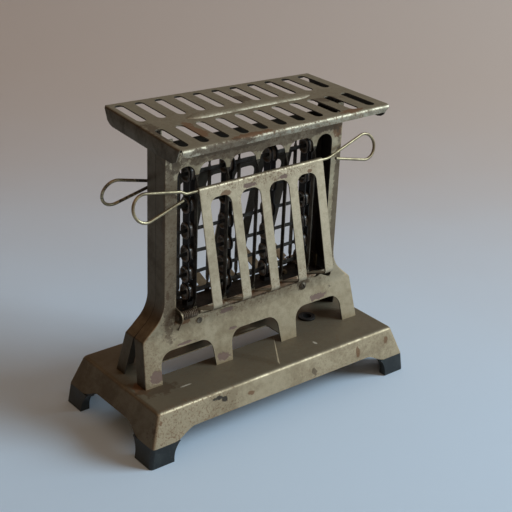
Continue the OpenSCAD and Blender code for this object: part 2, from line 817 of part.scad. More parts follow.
// porcelain beads through both plates, dished at both ends, with a slit for the ribbon
module post_insulators(i) {
  length = post_gap + sheet + 1.2;
  color([0.4, 0.35, 0.29]) translate([post_x[i] - 0.6, 0, 0]) for (z = row_z)
    translate([0, 0, z]) difference() {
      union() {
        along_x(0, length) oblong(row_hole[0] - 0.1, row_hole[1] - 0.1);
        along_x(-0.5, 0.58) oblong(row_hole[0] + 1.1, row_hole[1] + 1.1);
      }
      along_x(-1, 1.2) oblong(row_hole[0] - 1.5, row_hole[1] - 1.5);
      along_x(length - 0.8, length + 1) oblong(row_hole[0] - 1.9, row_hole[1] - 1.9);
      block([-2, -ribbon_t / 2 - 0.15, -ribbon_h / 2 - 0.02],
        [length + 2, ribbon_t / 2 + 0.15, ribbon_h / 2 + 0.15]);
    }
}

module post_insulators_1() { post_insulators(0); }
module post_insulators_2() { post_insulators(1); }
module post_insulators_3() { post_insulators(2); }
module post_insulators_4() { post_insulators(3); }

// the lowest and highest rows reach on to their lead strips
module heating_ribbons() {
  color([0.2, 0.18, 0.16]) for (i = [0 : 5]) {
    x1 = i == 0 || i == 5 ? lead_x : ribbon_end_x + 2;
    block([-ribbon_end_x, -ribbon_t / 2, row_z[i] - ribbon_h / 2],
      [x1, ribbon_t / 2, row_z[i] + ribbon_h / 2]);
  }
}

// folded ends that carry the ribbon from row to row, left and right in turn
module ribbon_links() {
  color([0.2, 0.18, 0.16]) for (i = [0 : 4]) {
    x = i % 2 == 0 ? -ribbon_end_x - ribbon_h : ribbon_end_x + 2;
    block([x, -ribbon_t / 2, row_z[i] - ribbon_h / 2],
      [x + ribbon_h, ribbon_t / 2, row_z[i + 1] + ribbon_h / 2]);
  }
}

/* terminals and leads */

terminal_x = [35, 55.4];
lead_x = 59;
lead_y = [-4.5, 4.5];

module terminal_block() {
  color([0.8, 0.77, 0.68]) difference() {
    block([30, -5.5, tray_z - 9], [59, 5.5, tray_z]);
    for (x = terminal_x) {
      translate([x, 0, tray_z - 10]) cylinder(h = 12, r = 1.6);
      translate([x, 0, tray_z - 10]) cylinder(h = 3.2, r = 3);
    }
    // room for the panel screw and for the foot of the last post
    block([42.4, -6, tray_z - 10], [46.4, 6, tray_z - 4.6]);
    block([post_x[3] - 0.3, -1.9, tray_z - 0.9],
      [post_x[3] + post_gap + sheet + 0.3, 1.9, tray_z + 1]);
  }
}

module terminal_screws() {
  color([0.7, 0.56, 0.28]) for (x = terminal_x) translate([x, 0, 0]) {
    difference() {
      translate([0, 0, tray_z - 9.4]) cylinder(h = 2.6, r = 2.6);
      block([-4, -0.4, tray_z - 10], [4, 0.4, tray_z - 8.6]);
    }
    translate([0, 0, tray_z - 7.4]) cylinder(h = 8.2 + sheet + 1.5, r = 1.45);
    translate([0, 0, tray_z + sheet]) cylinder(h = 1.4, r = 2.6, $fn = 6);
  }
}

// flat strips from the terminal block to the two free ends of the ribbon
module lead_strips() {
  color([0.5, 0.42, 0.28]) {
    lead_strip(row_z[5]);
    mirror([0, 1, 0]) lead_strip(row_z[0]);
  }
}

module lead_strip(z) {
  block([lead_x, 3, tray_z - 4], [lead_x + 0.6, 6, z + ribbon_h / 2]);
  block([lead_x, -ribbon_t / 2, z - ribbon_h / 2], [lead_x + 0.6, 6, z + ribbon_h / 2]);
}

module cord_bushing() {
  color([0.35, 0.3, 0.26]) translate([bushing_x, 0, 0]) difference() {
    union() {
      translate([0, 0, deck_z - sheet - 1.6]) cylinder(h = 1.6, r = 6.2);
      translate([0, 0, deck_z - sheet - 0.5]) cylinder(h = sheet + 1, r = 4.9);
      translate([0, 0, deck_z]) cylinder(h = 1.5, r = 6.2);
    }
    translate([0, 0, deck_z - 5]) cylinder(h = 10, r = 3.2);
  }
}

/* fasteners */

// a slotted round head screw through the panel and the tray's flange
module panel_screw() {
  difference() {
    union() {
      intersection() {
        translate([0, -body_half_y + 2.2, 0]) sphere(3.8);
        block([-4, -body_half_y - 3, -4], [4, -body_half_y, 4]);
      }
      translate([0, -body_half_y + 5.6, 0]) rotate([90, 0, 0]) cylinder(h = 6, r = 1.55);
    }
    rotate([0, 62, 0]) block([-5, -body_half_y - 3, -0.4], [5, -body_half_y - 0.7, 0.4]);
    translate([0, 0, -screw_z]) along_x(-5, 5) polygon([[-body_half_y, crease_z + 0.01],
      [-leg_half_y, deck_z], [-body_half_y, deck_z]]);
  }
}

module panel_screws() {
  color([0.3, 0.27, 0.22]) for (turn = [0, 180])
    rotate([0, 0, turn]) translate([screw_x, 0, screw_z]) panel_screw();
}

module panel_nuts() {
  color([0.4, 0.36, 0.3]) for (turn = [0, 180])
    rotate([0, 0, turn]) translate([screw_x, -body_half_y + 2 * sheet, screw_z])
      rotate([-90, 0, 0]) difference() {
        cylinder(h = 2, r = 2.9, $fn = 6);
        translate([0, 0, -1]) cylinder(h = 4, r = 1.6);
      }
}

module panel_rivets() {
  color([0.4, 0.25, 0.2]) for (turn = [0, 180])
    rotate([0, 0, turn]) translate([-screw_x, -body_half_y, screw_z]) rotate([90, 0, 0]) {
      cylinder(h = 0.7, r = 2.1);
      translate([0, 0, -2 * sheet - 0.2]) cylinder(h = 2 * sheet + 0.4, r = 1.6);
      translate([0, 0, -2 * sheet - 0.8]) cylinder(h = 0.8, r = 2.1);
    }
}

base_pan();
foot_front_left();
foot_front_right();
foot_rear_left();
foot_rear_right();
foot_bosses();
foot_screws();
front_panel();
rear_panel();
front_guard_bars();
rear_guard_bars();
top_rack();
front_door();
rear_door();
front_handle_wire();
rear_handle_wire();
front_hinge_pin();
rear_hinge_pin();
front_door_spring();
rear_door_spring();
element_tray();
element_cap();
element_post_1();
element_post_2();
element_post_3();
element_post_4();
post_insulators_1();
post_insulators_2();
post_insulators_3();
post_insulators_4();
heating_ribbons();
ribbon_links();
panel_screws();
panel_nuts();
panel_rivets();
cord_bushing();
terminal_block();
terminal_screws();
lead_strips();
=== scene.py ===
import math

import bmesh
import bpy
import numpy as np
from mathutils import Matrix, Vector, geometry


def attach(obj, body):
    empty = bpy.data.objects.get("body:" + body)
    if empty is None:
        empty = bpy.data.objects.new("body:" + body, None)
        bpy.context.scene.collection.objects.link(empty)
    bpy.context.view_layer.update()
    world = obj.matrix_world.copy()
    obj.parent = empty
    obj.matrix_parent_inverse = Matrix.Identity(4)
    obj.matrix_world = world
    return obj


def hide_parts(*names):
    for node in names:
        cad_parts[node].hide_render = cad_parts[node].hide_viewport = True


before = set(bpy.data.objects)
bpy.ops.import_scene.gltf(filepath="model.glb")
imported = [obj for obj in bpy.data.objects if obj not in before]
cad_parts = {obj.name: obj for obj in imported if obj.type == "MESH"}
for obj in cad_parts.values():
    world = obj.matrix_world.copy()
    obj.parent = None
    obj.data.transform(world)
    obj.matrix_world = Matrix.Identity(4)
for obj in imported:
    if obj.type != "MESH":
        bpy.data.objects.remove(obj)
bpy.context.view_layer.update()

mm = 0.001
scene = bpy.context.scene
halves = (("front", False), ("rear", True))  # the rear is the front turned half a turn
print("frame loaded,", len(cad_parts), "nodes")


def newObject(name, data):
    made = bpy.data.objects.new(name, data)
    scene.collection.objects.link(made)
    return made


def smoothObject(name, bm):
    for face in bm.faces:
        face.smooth = True
    mesh = bpy.data.meshes.new(name)
    bm.to_mesh(mesh)
    bm.free()
    return newObject(name, mesh)


# camera at the photograph's angle, worked out from the toaster's own corners

cameraSetup = {
    "azimuth": -39.498,  # degrees round the toaster, 0 looks at the front door
    "elevation": 24.878,
    "roll": 2.3435,
    "distance": 0.7927,  # metres from the aim point
    "aim": (0.00566, -0.00467, 0.09934),
    "focal": 1186.0,  # pixels across a 512 pixel picture
    "sensor": 36.0,
}


def makeCamera(setup):
    azimuth = math.radians(setup["azimuth"])
    elevation = math.radians(setup["elevation"])
    roll = math.radians(setup["roll"])
    back = Vector((math.sin(azimuth) * math.cos(elevation),
                   -math.cos(azimuth) * math.cos(elevation), math.sin(elevation)))
    right = Vector((math.cos(azimuth), math.sin(azimuth), 0))
    up = back.cross(right)
    rolledRight = right * math.cos(roll) + up * math.sin(roll)
    rolledUp = up * math.cos(roll) - right * math.sin(roll)
    data = bpy.data.cameras.new("camera")
    data.sensor_width = setup["sensor"]
    data.lens = setup["focal"] * setup["sensor"] / 512
    camera = newObject("camera", data)
    turn = Matrix((rolledRight, rolledUp, back)).transposed().to_4x4()
    camera.matrix_world = Matrix.Translation(Vector(setup["aim"]) + back * setup["distance"]) @ turn
    scene.camera = camera


makeCamera(cameraSetup)
scene.view_settings.view_transform = "Standard"

# material helpers


def newMaterial(name):
    material = bpy.data.materials.new(name)
    material.use_nodes = True
    return material, material.node_tree, material.node_tree.nodes["Principled BSDF"]


def addNode(tree, kind, inputs=None, family="ShaderNode", **settings):
    node = tree.nodes.new(family + kind)
    for key, value in settings.items():
        setattr(node, key, value)
    for key, value in (inputs or {}).items():
        socket = node.inputs[key]
        if isinstance(value, bpy.types.NodeSocket):
            tree.links.new(value, socket)
        else:
            socket.default_value = (*value, 1) if socket.type == "RGBA" else value
    return node


def calc(tree, operation, a, b=0.5, clamp=False):
    return addNode(tree, "Math", {0: a, 1: b}, operation=operation, use_clamp=clamp).outputs[0]


def plus(tree, a, b, clamp=False):
    return calc(tree, "ADD", a, b, clamp)


def times(tree, a, b):
    return calc(tree, "MULTIPLY", a, b)


def larger(tree, a, b):
    return calc(tree, "MAXIMUM", a, b)


def noise(tree, where, scale, detail=4.0, roughness=0.55, distortion=0.0):
    return addNode(tree, "TexNoise", {"Vector": where, "Scale": scale, "Detail": detail,
                                      "Roughness": roughness,
                                      "Distortion": distortion}).outputs["Fac"]


def band(tree, value, low, high, most=1.0):
    # eases from 0 at low to most at high
    return addNode(tree, "MapRange", {"Value": value, "From Min": low, "From Max": high,
                                      "To Max": most},
                   interpolation_type="SMOOTHSTEP").outputs["Result"]


def blendColour(tree, amount, first, second):
    return addNode(tree, "Mix", {0: amount, 6: first, 7: second}, data_type="RGBA").outputs[2]


def patchMask(tree, where, ragged, centre, size):
    # 1 inside an ellipsoid with a broken edge; centre and size in millimetres
    mapped = addNode(tree, "Mapping", {"Vector": where,
                                       "Location": [-c / s for c, s in zip(centre, size)],
                                       "Scale": [1 / (s * mm) for s in size]})
    far = addNode(tree, "VectorMath", {0: mapped.outputs[0]}, operation="LENGTH").outputs["Value"]
    return band(tree, plus(tree, far, ragged), 1.0, 0.72)


def innerMask(tree, where, facing):
    # 1 on the faces that look inwards, towards the middle of the toaster
    spot = addNode(tree, "SeparateXYZ", {0: where}).outputs
    inward = [times(tree, calc(tree, "SIGN", spot[axis]), facing[axis]) for axis in (0, 1)]
    return larger(tree, *[band(tree, value, -0.3, -0.7) for value in inward])


def linkShader(tree, shader, colour, rough, height, strength):
    bump = addNode(tree, "Bump", {"Height": height, "Strength": strength, "Distance": mm})
    for label, value in (("Base Color", colour), ("Roughness", rough), ("Normal", bump.outputs[0])):
        tree.links.new(value, shader.inputs[label])


rustTint = (0.17, 0.075, 0.028)
markKinds = {  # colour, strength, lift in millimetres
    "bare": ((0.21, 0.135, 0.105), 0.95, -0.10),
    "rust": (rustTint, 0.8, 0.06),
    "stain": ((0.075, 0.045, 0.022), 0.72, 0.0),
    "dark": ((0.02, 0.016, 0.013), 0.9, -0.04),
    "haze": ((0.12, 0.085, 0.052), 0.66, 0.0),
    # painted highlight: a pale colour laid where the metal catches the light
    "paintedHighlight": ((0.78, 0.72, 0.6), 0.6, 0.0),
}


def agedMetal(name, look):
    material, tree, shader = newMaterial(name)
    coords = addNode(tree, "TexCoord").outputs
    where = coords["Object"]
    facing = addNode(tree, "SeparateXYZ", {0: coords["Normal"]}).outputs
    clouds = noise(tree, where, look.get("cloudScale", 34), 5, 0.62, 0.5)
    mottle = noise(tree, where, 190, 6, 0.68, 0.2)
    grain = noise(tree, where, 1400, 3, 0.6)
    ragged = times(tree, calc(tree, "SUBTRACT", noise(tree, where, 210, 8, 0.72), 0.5), 2.6)
    # faces turned upwards are darkened: partly dust, partly painted shade
    top = times(tree, band(tree, facing[2], 0.55, 0.95), look.get("topDustAndShade", 0.0))
    # painted shade: faces turned downwards are darkened
    paintedUndersideShade = times(tree, band(tree, facing[2], -0.4, -0.95), 0.7)
    mixed = plus(tree, times(tree, clouds, 0.6), times(tree, mottle, 0.4))
    dull = times(tree, band(tree, mixed, 0.40, 0.62), look["tarnishing"])
    colour = blendColour(tree, dull, look["plate"], look["tarnish"])
    worn = times(tree, band(tree, grain, 0.45, 0.7), 0.25)
    colour = blendColour(tree, worn, colour, look["tarnish"])
    colour = blendColour(tree, top, colour, look.get("topDustAndShadeTint", look["tarnish"]))
    colour = blendColour(tree, paintedUndersideShade, colour, (0.03, 0.026, 0.02))
    specks = times(tree, band(tree, noise(tree, where, 520, 5, 0.7), 0.60, 0.70),
                   band(tree, clouds, 0.42, 0.6))
    specks = times(tree, specks, look["specks"])
    for place, size, strength in look.get("speckled", []):
        zone = patchMask(tree, where, ragged, place, size)
        dots = band(tree, noise(tree, where, 760, 5, 0.75), 0.52, 0.60)
        specks = larger(tree, specks, times(tree, times(tree, zone, dots), strength))
    colour = blendColour(tree, specks, colour, rustTint)
    if "leftShade" in look:  # painted shade: faces turned to the left are darkened
        shaded = times(tree, band(tree, facing[0], -0.45, -0.85), look["leftShade"])
        colour = blendColour(tree, shaded, colour, (0.05, 0.04, 0.028))
    # painted shade: faces that look inwards, into the body, are darkened to near black and dulled
    if "innerPaintedShade" in look:
        inside = innerMask(tree, where, facing)
        innerShadeAmount = times(tree, inside, look["innerPaintedShade"])
        colour = blendColour(tree, innerShadeAmount, colour, (0.016, 0.012, 0.009))
        specks = larger(tree, specks, times(tree, inside, 0.8))
    rough = plus(tree, look["rough"], times(tree, dull, 0.18))
    rough = plus(tree, rough, times(tree, mottle, 0.12))
    covered = larger(tree, specks, times(tree, top, 0.55))
    raised = times(tree, specks, 0.05)
    for kind, place, size in look.get("marks", []):
        tint, strength, lift = markKinds[kind]
        mask = times(tree, patchMask(tree, where, ragged, place, size), strength)
        colour = blendColour(tree, mask, colour, tint)
        # painted highlights keep the bare metal's shine
        if kind != "paintedHighlight":
            covered = larger(tree, covered, times(tree, mask, 0.9))
        raised = plus(tree, raised, times(tree, mask, lift))
    rough = plus(tree, rough, times(tree, covered, 0.3), clamp=True)
    metal = calc(tree, "SUBTRACT", 0.95, times(tree, covered, 0.8), clamp=True)
    waves = noise(tree, where, 22, 2, 0.5)
    height = plus(tree, times(tree, waves, look["waves"]), times(tree, mottle, 0.035))
    height = plus(tree, plus(tree, height, times(tree, grain, 0.012)), raised)
    linkShader(tree, shader, colour, rough, height, 0.9)
    tree.links.new(metal, shader.inputs["Metallic"])
    return material


def coatedSurface(name, look):
    material, tree, shader = newMaterial(name)
    where = addNode(tree, "TexCoord").outputs["Object"]
    worn = noise(tree, where, look.get("scale", 120), 6, 0.66, 0.3)
    fine = noise(tree, where, 900, 4, 0.6)
    dusty = times(tree, band(tree, fine, 0.58, 0.7), look["dust"])
    colour = blendColour(tree, band(tree, worn, 0.42, 0.68), look["main"], look["second"])
    colour = blendColour(tree, dusty, colour, look["third"])
    rough = plus(tree, look["rough"], times(tree, worn, 0.25))
    height = plus(tree, times(tree, worn, 0.08), times(tree, fine, look.get("pits", 0.03)))
    linkShader(tree, shader, colour, rough, height, 0.8)
    shader.inputs["Metallic"].default_value = look.get("metal", 0.0)
    shader.inputs["Coat Weight"].default_value = look.get("coat", 0.0)
    return material


# places and sizes of wear and of painted light and shade are in millimetres

nickel = (0.52, 0.42, 0.275)
nickelDull = (0.23, 0.17, 0.1)
finishLooks = {
    "pan": dict(
        leftShade=0.72, plate=nickel, tarnish=(0.28, 0.215, 0.135), topDustAndShadeTint=(0.145, 0.117, 0.076),
        topDustAndShade=0.93, tarnishing=0.7, specks=0.6, rough=0.42, waves=0.35,
        speckled=[
            ((-80, -47, 24), (46, 12, 16), 0.7), ((60, -47, 24), (60, 12, 12), 0.3),
            ((0, 0, 35), (100, 46, 3), 0.35),
        ],
        marks=[
            ("dark", (-55, -47, 30.5), (4.5, 6, 1.3)), ("dark", (-49.5, -47, 28.6), (2.6, 6, 2.0)),
            ("rust", (-28, -48, 26), (3.2, 5, 1.8)), ("rust", (67, -48, 25.5), (2.2, 5, 4.2)),
            ("rust", (94, -47.5, 27), (3.2, 5, 2.6)), ("stain", (26, -48, 24), (2.6, 5, 3.0)),
            ("rust", (-99, -48.5, 28.5), (3, 5, 2.2)), ("stain", (-104.5, -46, 27), (1.6, 3, 6)),
            ("rust", (-93, -14, 35), (5, 10, 3)), ("stain", (-84, -20, 35), (14, 8, 3)),
            # painted highlights on the deck
            ("paintedHighlight", (39.4, -31.8, 35), (1.1, 2.2, 1)),
            ("paintedHighlight", (-66, -26.7, 35), (4, 0.8, 1)),
        ],
    ),
    "body": dict(
        innerPaintedShade=0.92, leftShade=0.85, plate=nickel, tarnish=nickelDull, topDustAndShadeTint=(0.1, 0.085, 0.06),
        topDustAndShade=0.5, tarnishing=0.66, specks=0.75, rough=0.36, waves=0.45,
        speckled=[
            ((0, -10, 182), (74, 4, 7), 1.0), ((-68, -10, 120), (5, 4, 70), 0.8),
            ((0, -10, 70), (70, 4, 4), 0.6), ((-84, -14, 52), (9, 8, 22), 0.5),
        ],
        marks=[
            ("bare", (-81, -15.5, 40), (6.4, 5, 4.6)), ("bare", (-28.4, -16, 39), (6.4, 5, 3.4)),
            ("bare", (58, -12.5, 57.5), (8, 5, 2.6)), ("bare", (-22, -10.5, 69.6), (6.5, 4, 2.2)),
            ("bare", (-56, -13, 56.4), (8, 5, 1.2)), ("bare", (-18, -13, 55.6), (3, 5, 1.2)),
            ("stain", (69.5, -9.9, 125), (3.2, 5, 62)), ("rust", (67, -9.9, 180), (5, 5, 7)),
            ("stain", (60, -9.9, 182), (14, 5, 4)), ("stain", (-64, -9.9, 180), (5, 5, 6)),
            ("rust", (-69.5, -9.9, 93), (1.6, 4, 4)), ("stain", (-20, -9.9, 183), (36, 5, 3)),
            ("stain", (44, -10.5, 71), (7, 4, 5)), ("rust", (-57, -10, 72), (9, 4, 3.2)),
            ("haze", (-68, -10, 125), (7, 4, 80)), ("haze", (0, -10, 182), (80, 4, 7)),
            # painted shadow of the hinge barrel on the panel, along the windows' lower edge
            ("stain", (0, -9.9, 73), (50, 4, 1.6)),
        ],
    ),
    "rack": dict(
        innerPaintedShade=0.9, leftShade=0.8, plate=(0.48, 0.42, 0.31), tarnish=(0.17, 0.135, 0.09),
        topDustAndShadeTint=(0.21, 0.172, 0.11), topDustAndShade=0.86, tarnishing=0.75, specks=0.6, rough=0.42, waves=0.4,
        speckled=[
            ((0, -42, 200), (84, 3, 5), 0.7), ((0, 0, 203), (84, 44, 4), 0.35),
        ],
        marks=[
            ("rust", (-57, -20, 203.3), (6, 16, 2)), ("stain", (2, 14, 203.3), (9, 7, 2)),
            ("stain", (-78, -8, 203.3), (5, 34, 2)), ("rust", (-30, -40, 202), (16, 3, 2)),
            ("rust", (52, -38, 202), (12, 3, 2)), ("stain", (54, -12, 203.3), (12, 6, 2)),
            ("stain", (-50, -42.2, 200), (30, 2, 5)),
        ],
    ),
    "door": dict(
        innerPaintedShade=0.85, plate=(0.56, 0.46, 0.315), tarnish=(0.27, 0.21, 0.135), tarnishing=0.6,
        specks=0.7, rough=0.38, waves=0.3,
        speckled=[
            ((0, -15, 160), (54, 4, 4), 0.8), ((0, -28, 92), (54, 9, 6), 0.5),
        ],
        marks=[
            ("rust", (-30, -15.6, 156.6), (4.4, 3, 2.0)),
            ("bare", (-11.7, -15.4, 157.8), (5.4, 3, 1.8)),
            ("bare", (16.6, -15.4, 157.4), (5.4, 3, 1.5)),
            ("rust", (39, -15.4, 157), (2.4, 3, 1.3)), ("stain", (-41.9, -26, 96), (2.6, 4, 5)),
            ("rust", (-18, -20, 124), (1.2, 4, 3)), ("rust", (3.4, -13.3, 78), (60, 3.4, 3.4)),
            ("stain", (3.4, -17, 81.6), (60, 2.6, 2.2)),
        ],
    ),
    "bar": dict(
        plate=(0.13, 0.105, 0.075), tarnish=(0.03, 0.025, 0.02), tarnishing=0.9, specks=0.8,
        rough=0.42, waves=0.1),
    "wire": dict(
        plate=(0.44, 0.36, 0.22), tarnish=(0.16, 0.12, 0.075), tarnishing=0.75, specks=0.5,
        rough=0.3, waves=0.05, cloudScale=70,
        marks=[
            # painted shade: the rear handle wire is darkened all over
            ("dark", (0, 13.3, 160), (120, 6, 16)),
        ],
    ),
    "spring": dict(
        plate=(0.34, 0.27, 0.2), tarnish=(0.11, 0.08, 0.055), tarnishing=0.8, specks=0.9,
        rough=0.5, waves=0.02, cloudScale=220),
    "pin": dict(
        plate=(0.2, 0.16, 0.115), tarnish=(0.06, 0.045, 0.033), tarnishing=0.8, specks=0.9,
        rough=0.45, waves=0.02, cloudScale=160),
    "inner": dict(
        plate=(0.055, 0.04, 0.03), tarnish=(0.02, 0.016, 0.012), tarnishing=0.9, specks=1.0,
        rough=0.55, waves=0.2),
    "ribbon": dict(
        plate=(0.1, 0.088, 0.075), tarnish=(0.026, 0.022, 0.02), tarnishing=0.8, specks=0.3,
        rough=0.5, waves=0.05, cloudScale=120),
    "screw": dict(
        plate=(0.26, 0.21, 0.15), tarnish=(0.07, 0.055, 0.04), tarnishing=0.8, specks=0.8,
        rough=0.38, waves=0.02, cloudScale=160),
    "brass": dict(
        plate=(0.16, 0.11, 0.05), tarnish=(0.05, 0.035, 0.02), tarnishing=0.7, specks=0.3,
        rough=0.4, waves=0.02),
}
finishes = {name: agedMetal(name + "Metal", look) for name, look in finishLooks.items()}
finishes["foot"] = coatedSurface("footEnamel", dict(
    main=(0.008, 0.011, 0.011), second=(0.02, 0.025, 0.024), third=(0.1, 0.1, 0.09),
    rough=0.3, dust=0.25, pits=0.05))
finishes["post"] = coatedSurface("sootedSteel", dict(
    main=(0.014, 0.012, 0.011), second=(0.035, 0.027, 0.022), third=(0.12, 0.075, 0.045),
    rough=0.5, dust=0.45, metal=0.4))
finishes["bead"] = coatedSurface("sootedPorcelain", dict(
    main=(0.09, 0.07, 0.052), second=(0.2, 0.15, 0.108), third=(0.26, 0.19, 0.13),
    rough=0.3, dust=0.35, scale=260, coat=0.3))
print("materials made,", len(finishes))

# sheet and wire helpers; every shape below is drawn in millimetres


def roundedPath(corners, radii, closed=False, steps=7):
    made = []
    count = len(corners)
    for i in range(count):
        here = Vector(corners[i])
        radius = radii[i] if isinstance(radii, (list, tuple)) else radii
        if radius <= 0 or (not closed and i in (0, count - 1)):
            made.append(tuple(here))
            continue
        before = (Vector(corners[i - 1]) - here).normalized()
        after = (Vector(corners[(i + 1) % count]) - here).normalized()
        half = math.acos(max(-1, min(1, before.dot(after)))) / 2
        centre = here + (before + after).normalized() * (radius / math.sin(half))
        start = here + before * (radius / math.tan(half)) - centre
        turn = math.pi - 2 * half
        if before.x * after.y - before.y * after.x > 0:
            turn = -turn
        for k in range(steps + 1):
            c, s = math.cos(turn * k / steps), math.sin(turn * k / steps)
            made.append((centre.x + start.x * c - start.y * s, centre.y + start.x * s + start.y * c))
    return made


def offsetPath(path, distance):
    # moves a path to its left by distance
    made = []
    for i, here in enumerate(path):
        a = Vector(path[max(i - 1, 0)])
        b = Vector(path[min(i + 1, len(path) - 1)])
        along = (b - a).normalized()
        made.append((here[0] - along.y * distance, here[1] + along.x * distance))
    return made


def insideLoops(points, loops):
    walls = np.array([(*a, *b) for loop in loops for a, b in zip(loop, loop[1:] + loop[:1])])
    x, y = points[:, :1], points[:, 1:]
    x0, y0, x1, y1 = walls.T
    rise = np.where(y1 == y0, 1e-9, y1 - y0)
    crossing = ((y0 > y) != (y1 > y)) & (x < (x1 - x0) * (y - y0) / rise + x0)
    return crossing.sum(1) % 2 == 1


def addPlate(bm, loops, spacing, place, rows=()):
    # a finely divided plate with holes; rows are fold lines across it
    points = [Vector(p) for loop in loops for p in loop]
    edges = []
    first = 0
    for loop in loops:
        edges += [(first + i, first + (i + 1) % len(loop)) for i in range(len(loop))]
        first += len(loop)
    rim = np.array([tuple(p) for p in points])
    low, high = rim.min(0), rim.max(0)
    levels = sorted(set(rows) | set(np.arange(low[1] + spacing / 2, high[1], spacing)))
    grid = [(x + spacing / 2 * (i % 2), y) for i, y in enumerate(levels)
            for x in np.arange(low[0] + spacing / 4, high[0], spacing)]
    grid = np.array(grid)
    clear = ((grid[:, None] - rim[None]) ** 2).sum(2).min(1) > (spacing * 0.5) ** 2
    grid = grid[insideLoops(grid, loops) & clear]
    for row in rows:
        edges.append((len(points), len(points) + 1))
        points += [Vector((low[0] - 1, row)), Vector((high[0] + 1, row))]
    points += [Vector(p) for p in grid]
    corners, _, faces, *_ = geometry.delaunay_2d_cdt(points, edges, [], 0, 1e-5)
    centres = np.array([sum((corners[i] for i in face), Vector((0, 0))) / 3 for face in faces])
    kept = [face for face, ok in zip(faces, insideLoops(centres, loops)) if ok]
    used = {i: bm.verts.new(place(*corners[i])) for i in sorted({i for f in kept for i in f})}
    for face in kept:
        bm.faces.new([used[i] for i in face])


def addSkin(bm, rings, closed=False):
    made = [[bm.verts.new(p) for p in ring] for ring in rings]
    for a, b in zip(made, made[1:]):
        count = len(a)
        for i in range(count if closed else count - 1):
            j = (i + 1) % count
            bm.faces.new((a[i], a[j], b[j], b[i]))


def bakeModifiers(piece):
    bpy.context.view_layer.update()
    solid = bpy.data.meshes.new_from_object(
        piece.evaluated_get(bpy.context.evaluated_depsgraph_get()))
    piece.modifiers.clear()
    piece.data = solid
    solid.name = piece.name


def placePiece(piece, finish, body, nodes):
    piece.data.materials.clear()
    piece.data.materials.append(finishes[finish])
    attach(piece, body)
    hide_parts(*nodes)


def roundEdges(piece, width, limit=40):
    if width > 0:
        bevel = piece.modifiers.new("roundedEdges", "BEVEL")
        bevel.width = width * mm
        bevel.segments = 2
        bevel.limit_method = "ANGLE"
        bevel.angle_limit = math.radians(limit)
        bevel.use_clamp_overlap = True
    weighted = piece.modifiers.new("flatFaces", "WEIGHTED_NORMAL")
    weighted.keep_sharp = True
    bakeModifiers(piece)


def solidPiece(name, bm, edge=0.12, thickness=0.0, offset=-1.0, outward=None, turned=False):
    bmesh.ops.remove_doubles(bm, verts=bm.verts, dist=0.01)
    bmesh.ops.dissolve_degenerate(bm, edges=bm.edges, dist=0.005)
    bmesh.ops.recalc_face_normals(bm, faces=bm.faces)
    if outward:
        total = sum((f.normal * f.calc_area() for f in bm.faces), Vector())
        if total.dot(Vector(outward)) < 0:
            bmesh.ops.reverse_faces(bm, faces=bm.faces)
    bm.transform(Matrix.Rotation(math.pi if turned else 0, 4, "Z") @ Matrix.Scale(mm, 4))
    piece = smoothObject(name, bm)
    if thickness:
        shell = piece.modifiers.new("thickness", "SOLIDIFY")
        shell.thickness = thickness * mm
        shell.offset = offset
        shell.use_even_offset = True
    roundEdges(piece, edge)
    return piece


# geometry node helpers


def newGroup(name, inputs):
    tree = bpy.data.node_groups.new(name, "GeometryNodeTree")
    tree.interface.new_socket("Geometry", in_out="OUTPUT", socket_type="NodeSocketGeometry")
    for label, kind in inputs.items():
        tree.interface.new_socket(label, in_out="INPUT", socket_type="NodeSocket" + kind)
    return tree, tree.nodes.new("NodeGroupInput").outputs


def geoNode(tree, kind, inputs=None, **settings):
    return addNode(tree, kind, inputs, "GeometryNode", **settings)


def closeGroup(tree, made, materialSocket):
    realized = geoNode(tree, "RealizeInstances", {0: made}).outputs[0]
    coloured = geoNode(tree, "SetMaterial", {"Geometry": realized, "Material": materialSocket})
    smooth = geoNode(tree, "SetShadeSmooth", {0: coloured.outputs[0]})
    out = tree.nodes.new("NodeGroupOutput")
    tree.links.new(smooth.outputs[0], out.inputs[0])


def runGroup(name, tree, values, mesh=None):
    piece = newObject(name, mesh or bpy.data.meshes.new(name))
    modifier = piece.modifiers.new("build", "NODES")
    modifier.node_group = tree
    for item in tree.interface.items_tree:
        if item.in_out == "INPUT" and item.name in values:
            modifier[item.identifier] = values[item.name]
    bakeModifiers(piece)
    return piece


def wireGroup():
    # a round wire along a path of mesh edges
    tree, given = newGroup("roundWire", {"Path": "Geometry", "Radius": "Float", "Sides": "Int",
                                         "Material": "Material"})
    line = geoNode(tree, "MeshToCurve", {0: given["Path"]}).outputs[0]
    ring = geoNode(tree, "CurvePrimitiveCircle", {"Resolution": given["Sides"],
                                                  "Radius": given["Radius"]}).outputs[0]
    swept = geoNode(tree, "CurveToMesh", {"Curve": line, "Profile Curve": ring, "Fill Caps": True})
    closeGroup(tree, swept.outputs[0], given["Material"])
    return tree


def sweepWire(name, path, radius, finish, sides=20):
    mesh = bpy.data.meshes.new(name)
    mesh.from_pydata([Vector(p) * mm for p in path], [(i, i + 1) for i in range(len(path) - 1)], [])
    return runGroup(name, wireTree, {"Radius": radius * mm, "Sides": sides,
                                     "Material": finishes[finish]}, mesh)


wireTree = wireGroup()

# pressed base

panSizes = {
    "deckHalf": (100.0, 44.3), "run": (7.8, 5.9), "cornerRadius": 2.2, "deckHeight": 34.8,
    "lowHeight": 13.6, "archHeight": 19.5, "bendRadius": 3.0, "bendTurn": 72.3,
    "archX": (76.0, 91.0), "archY": (18.0, 34.0), "slotX": (-71.0, 28.0), "slotHalf": 7.3,
    "hole": (59.0, 5.0), "facetLift": 1.0, "thickness": 0.8,
}


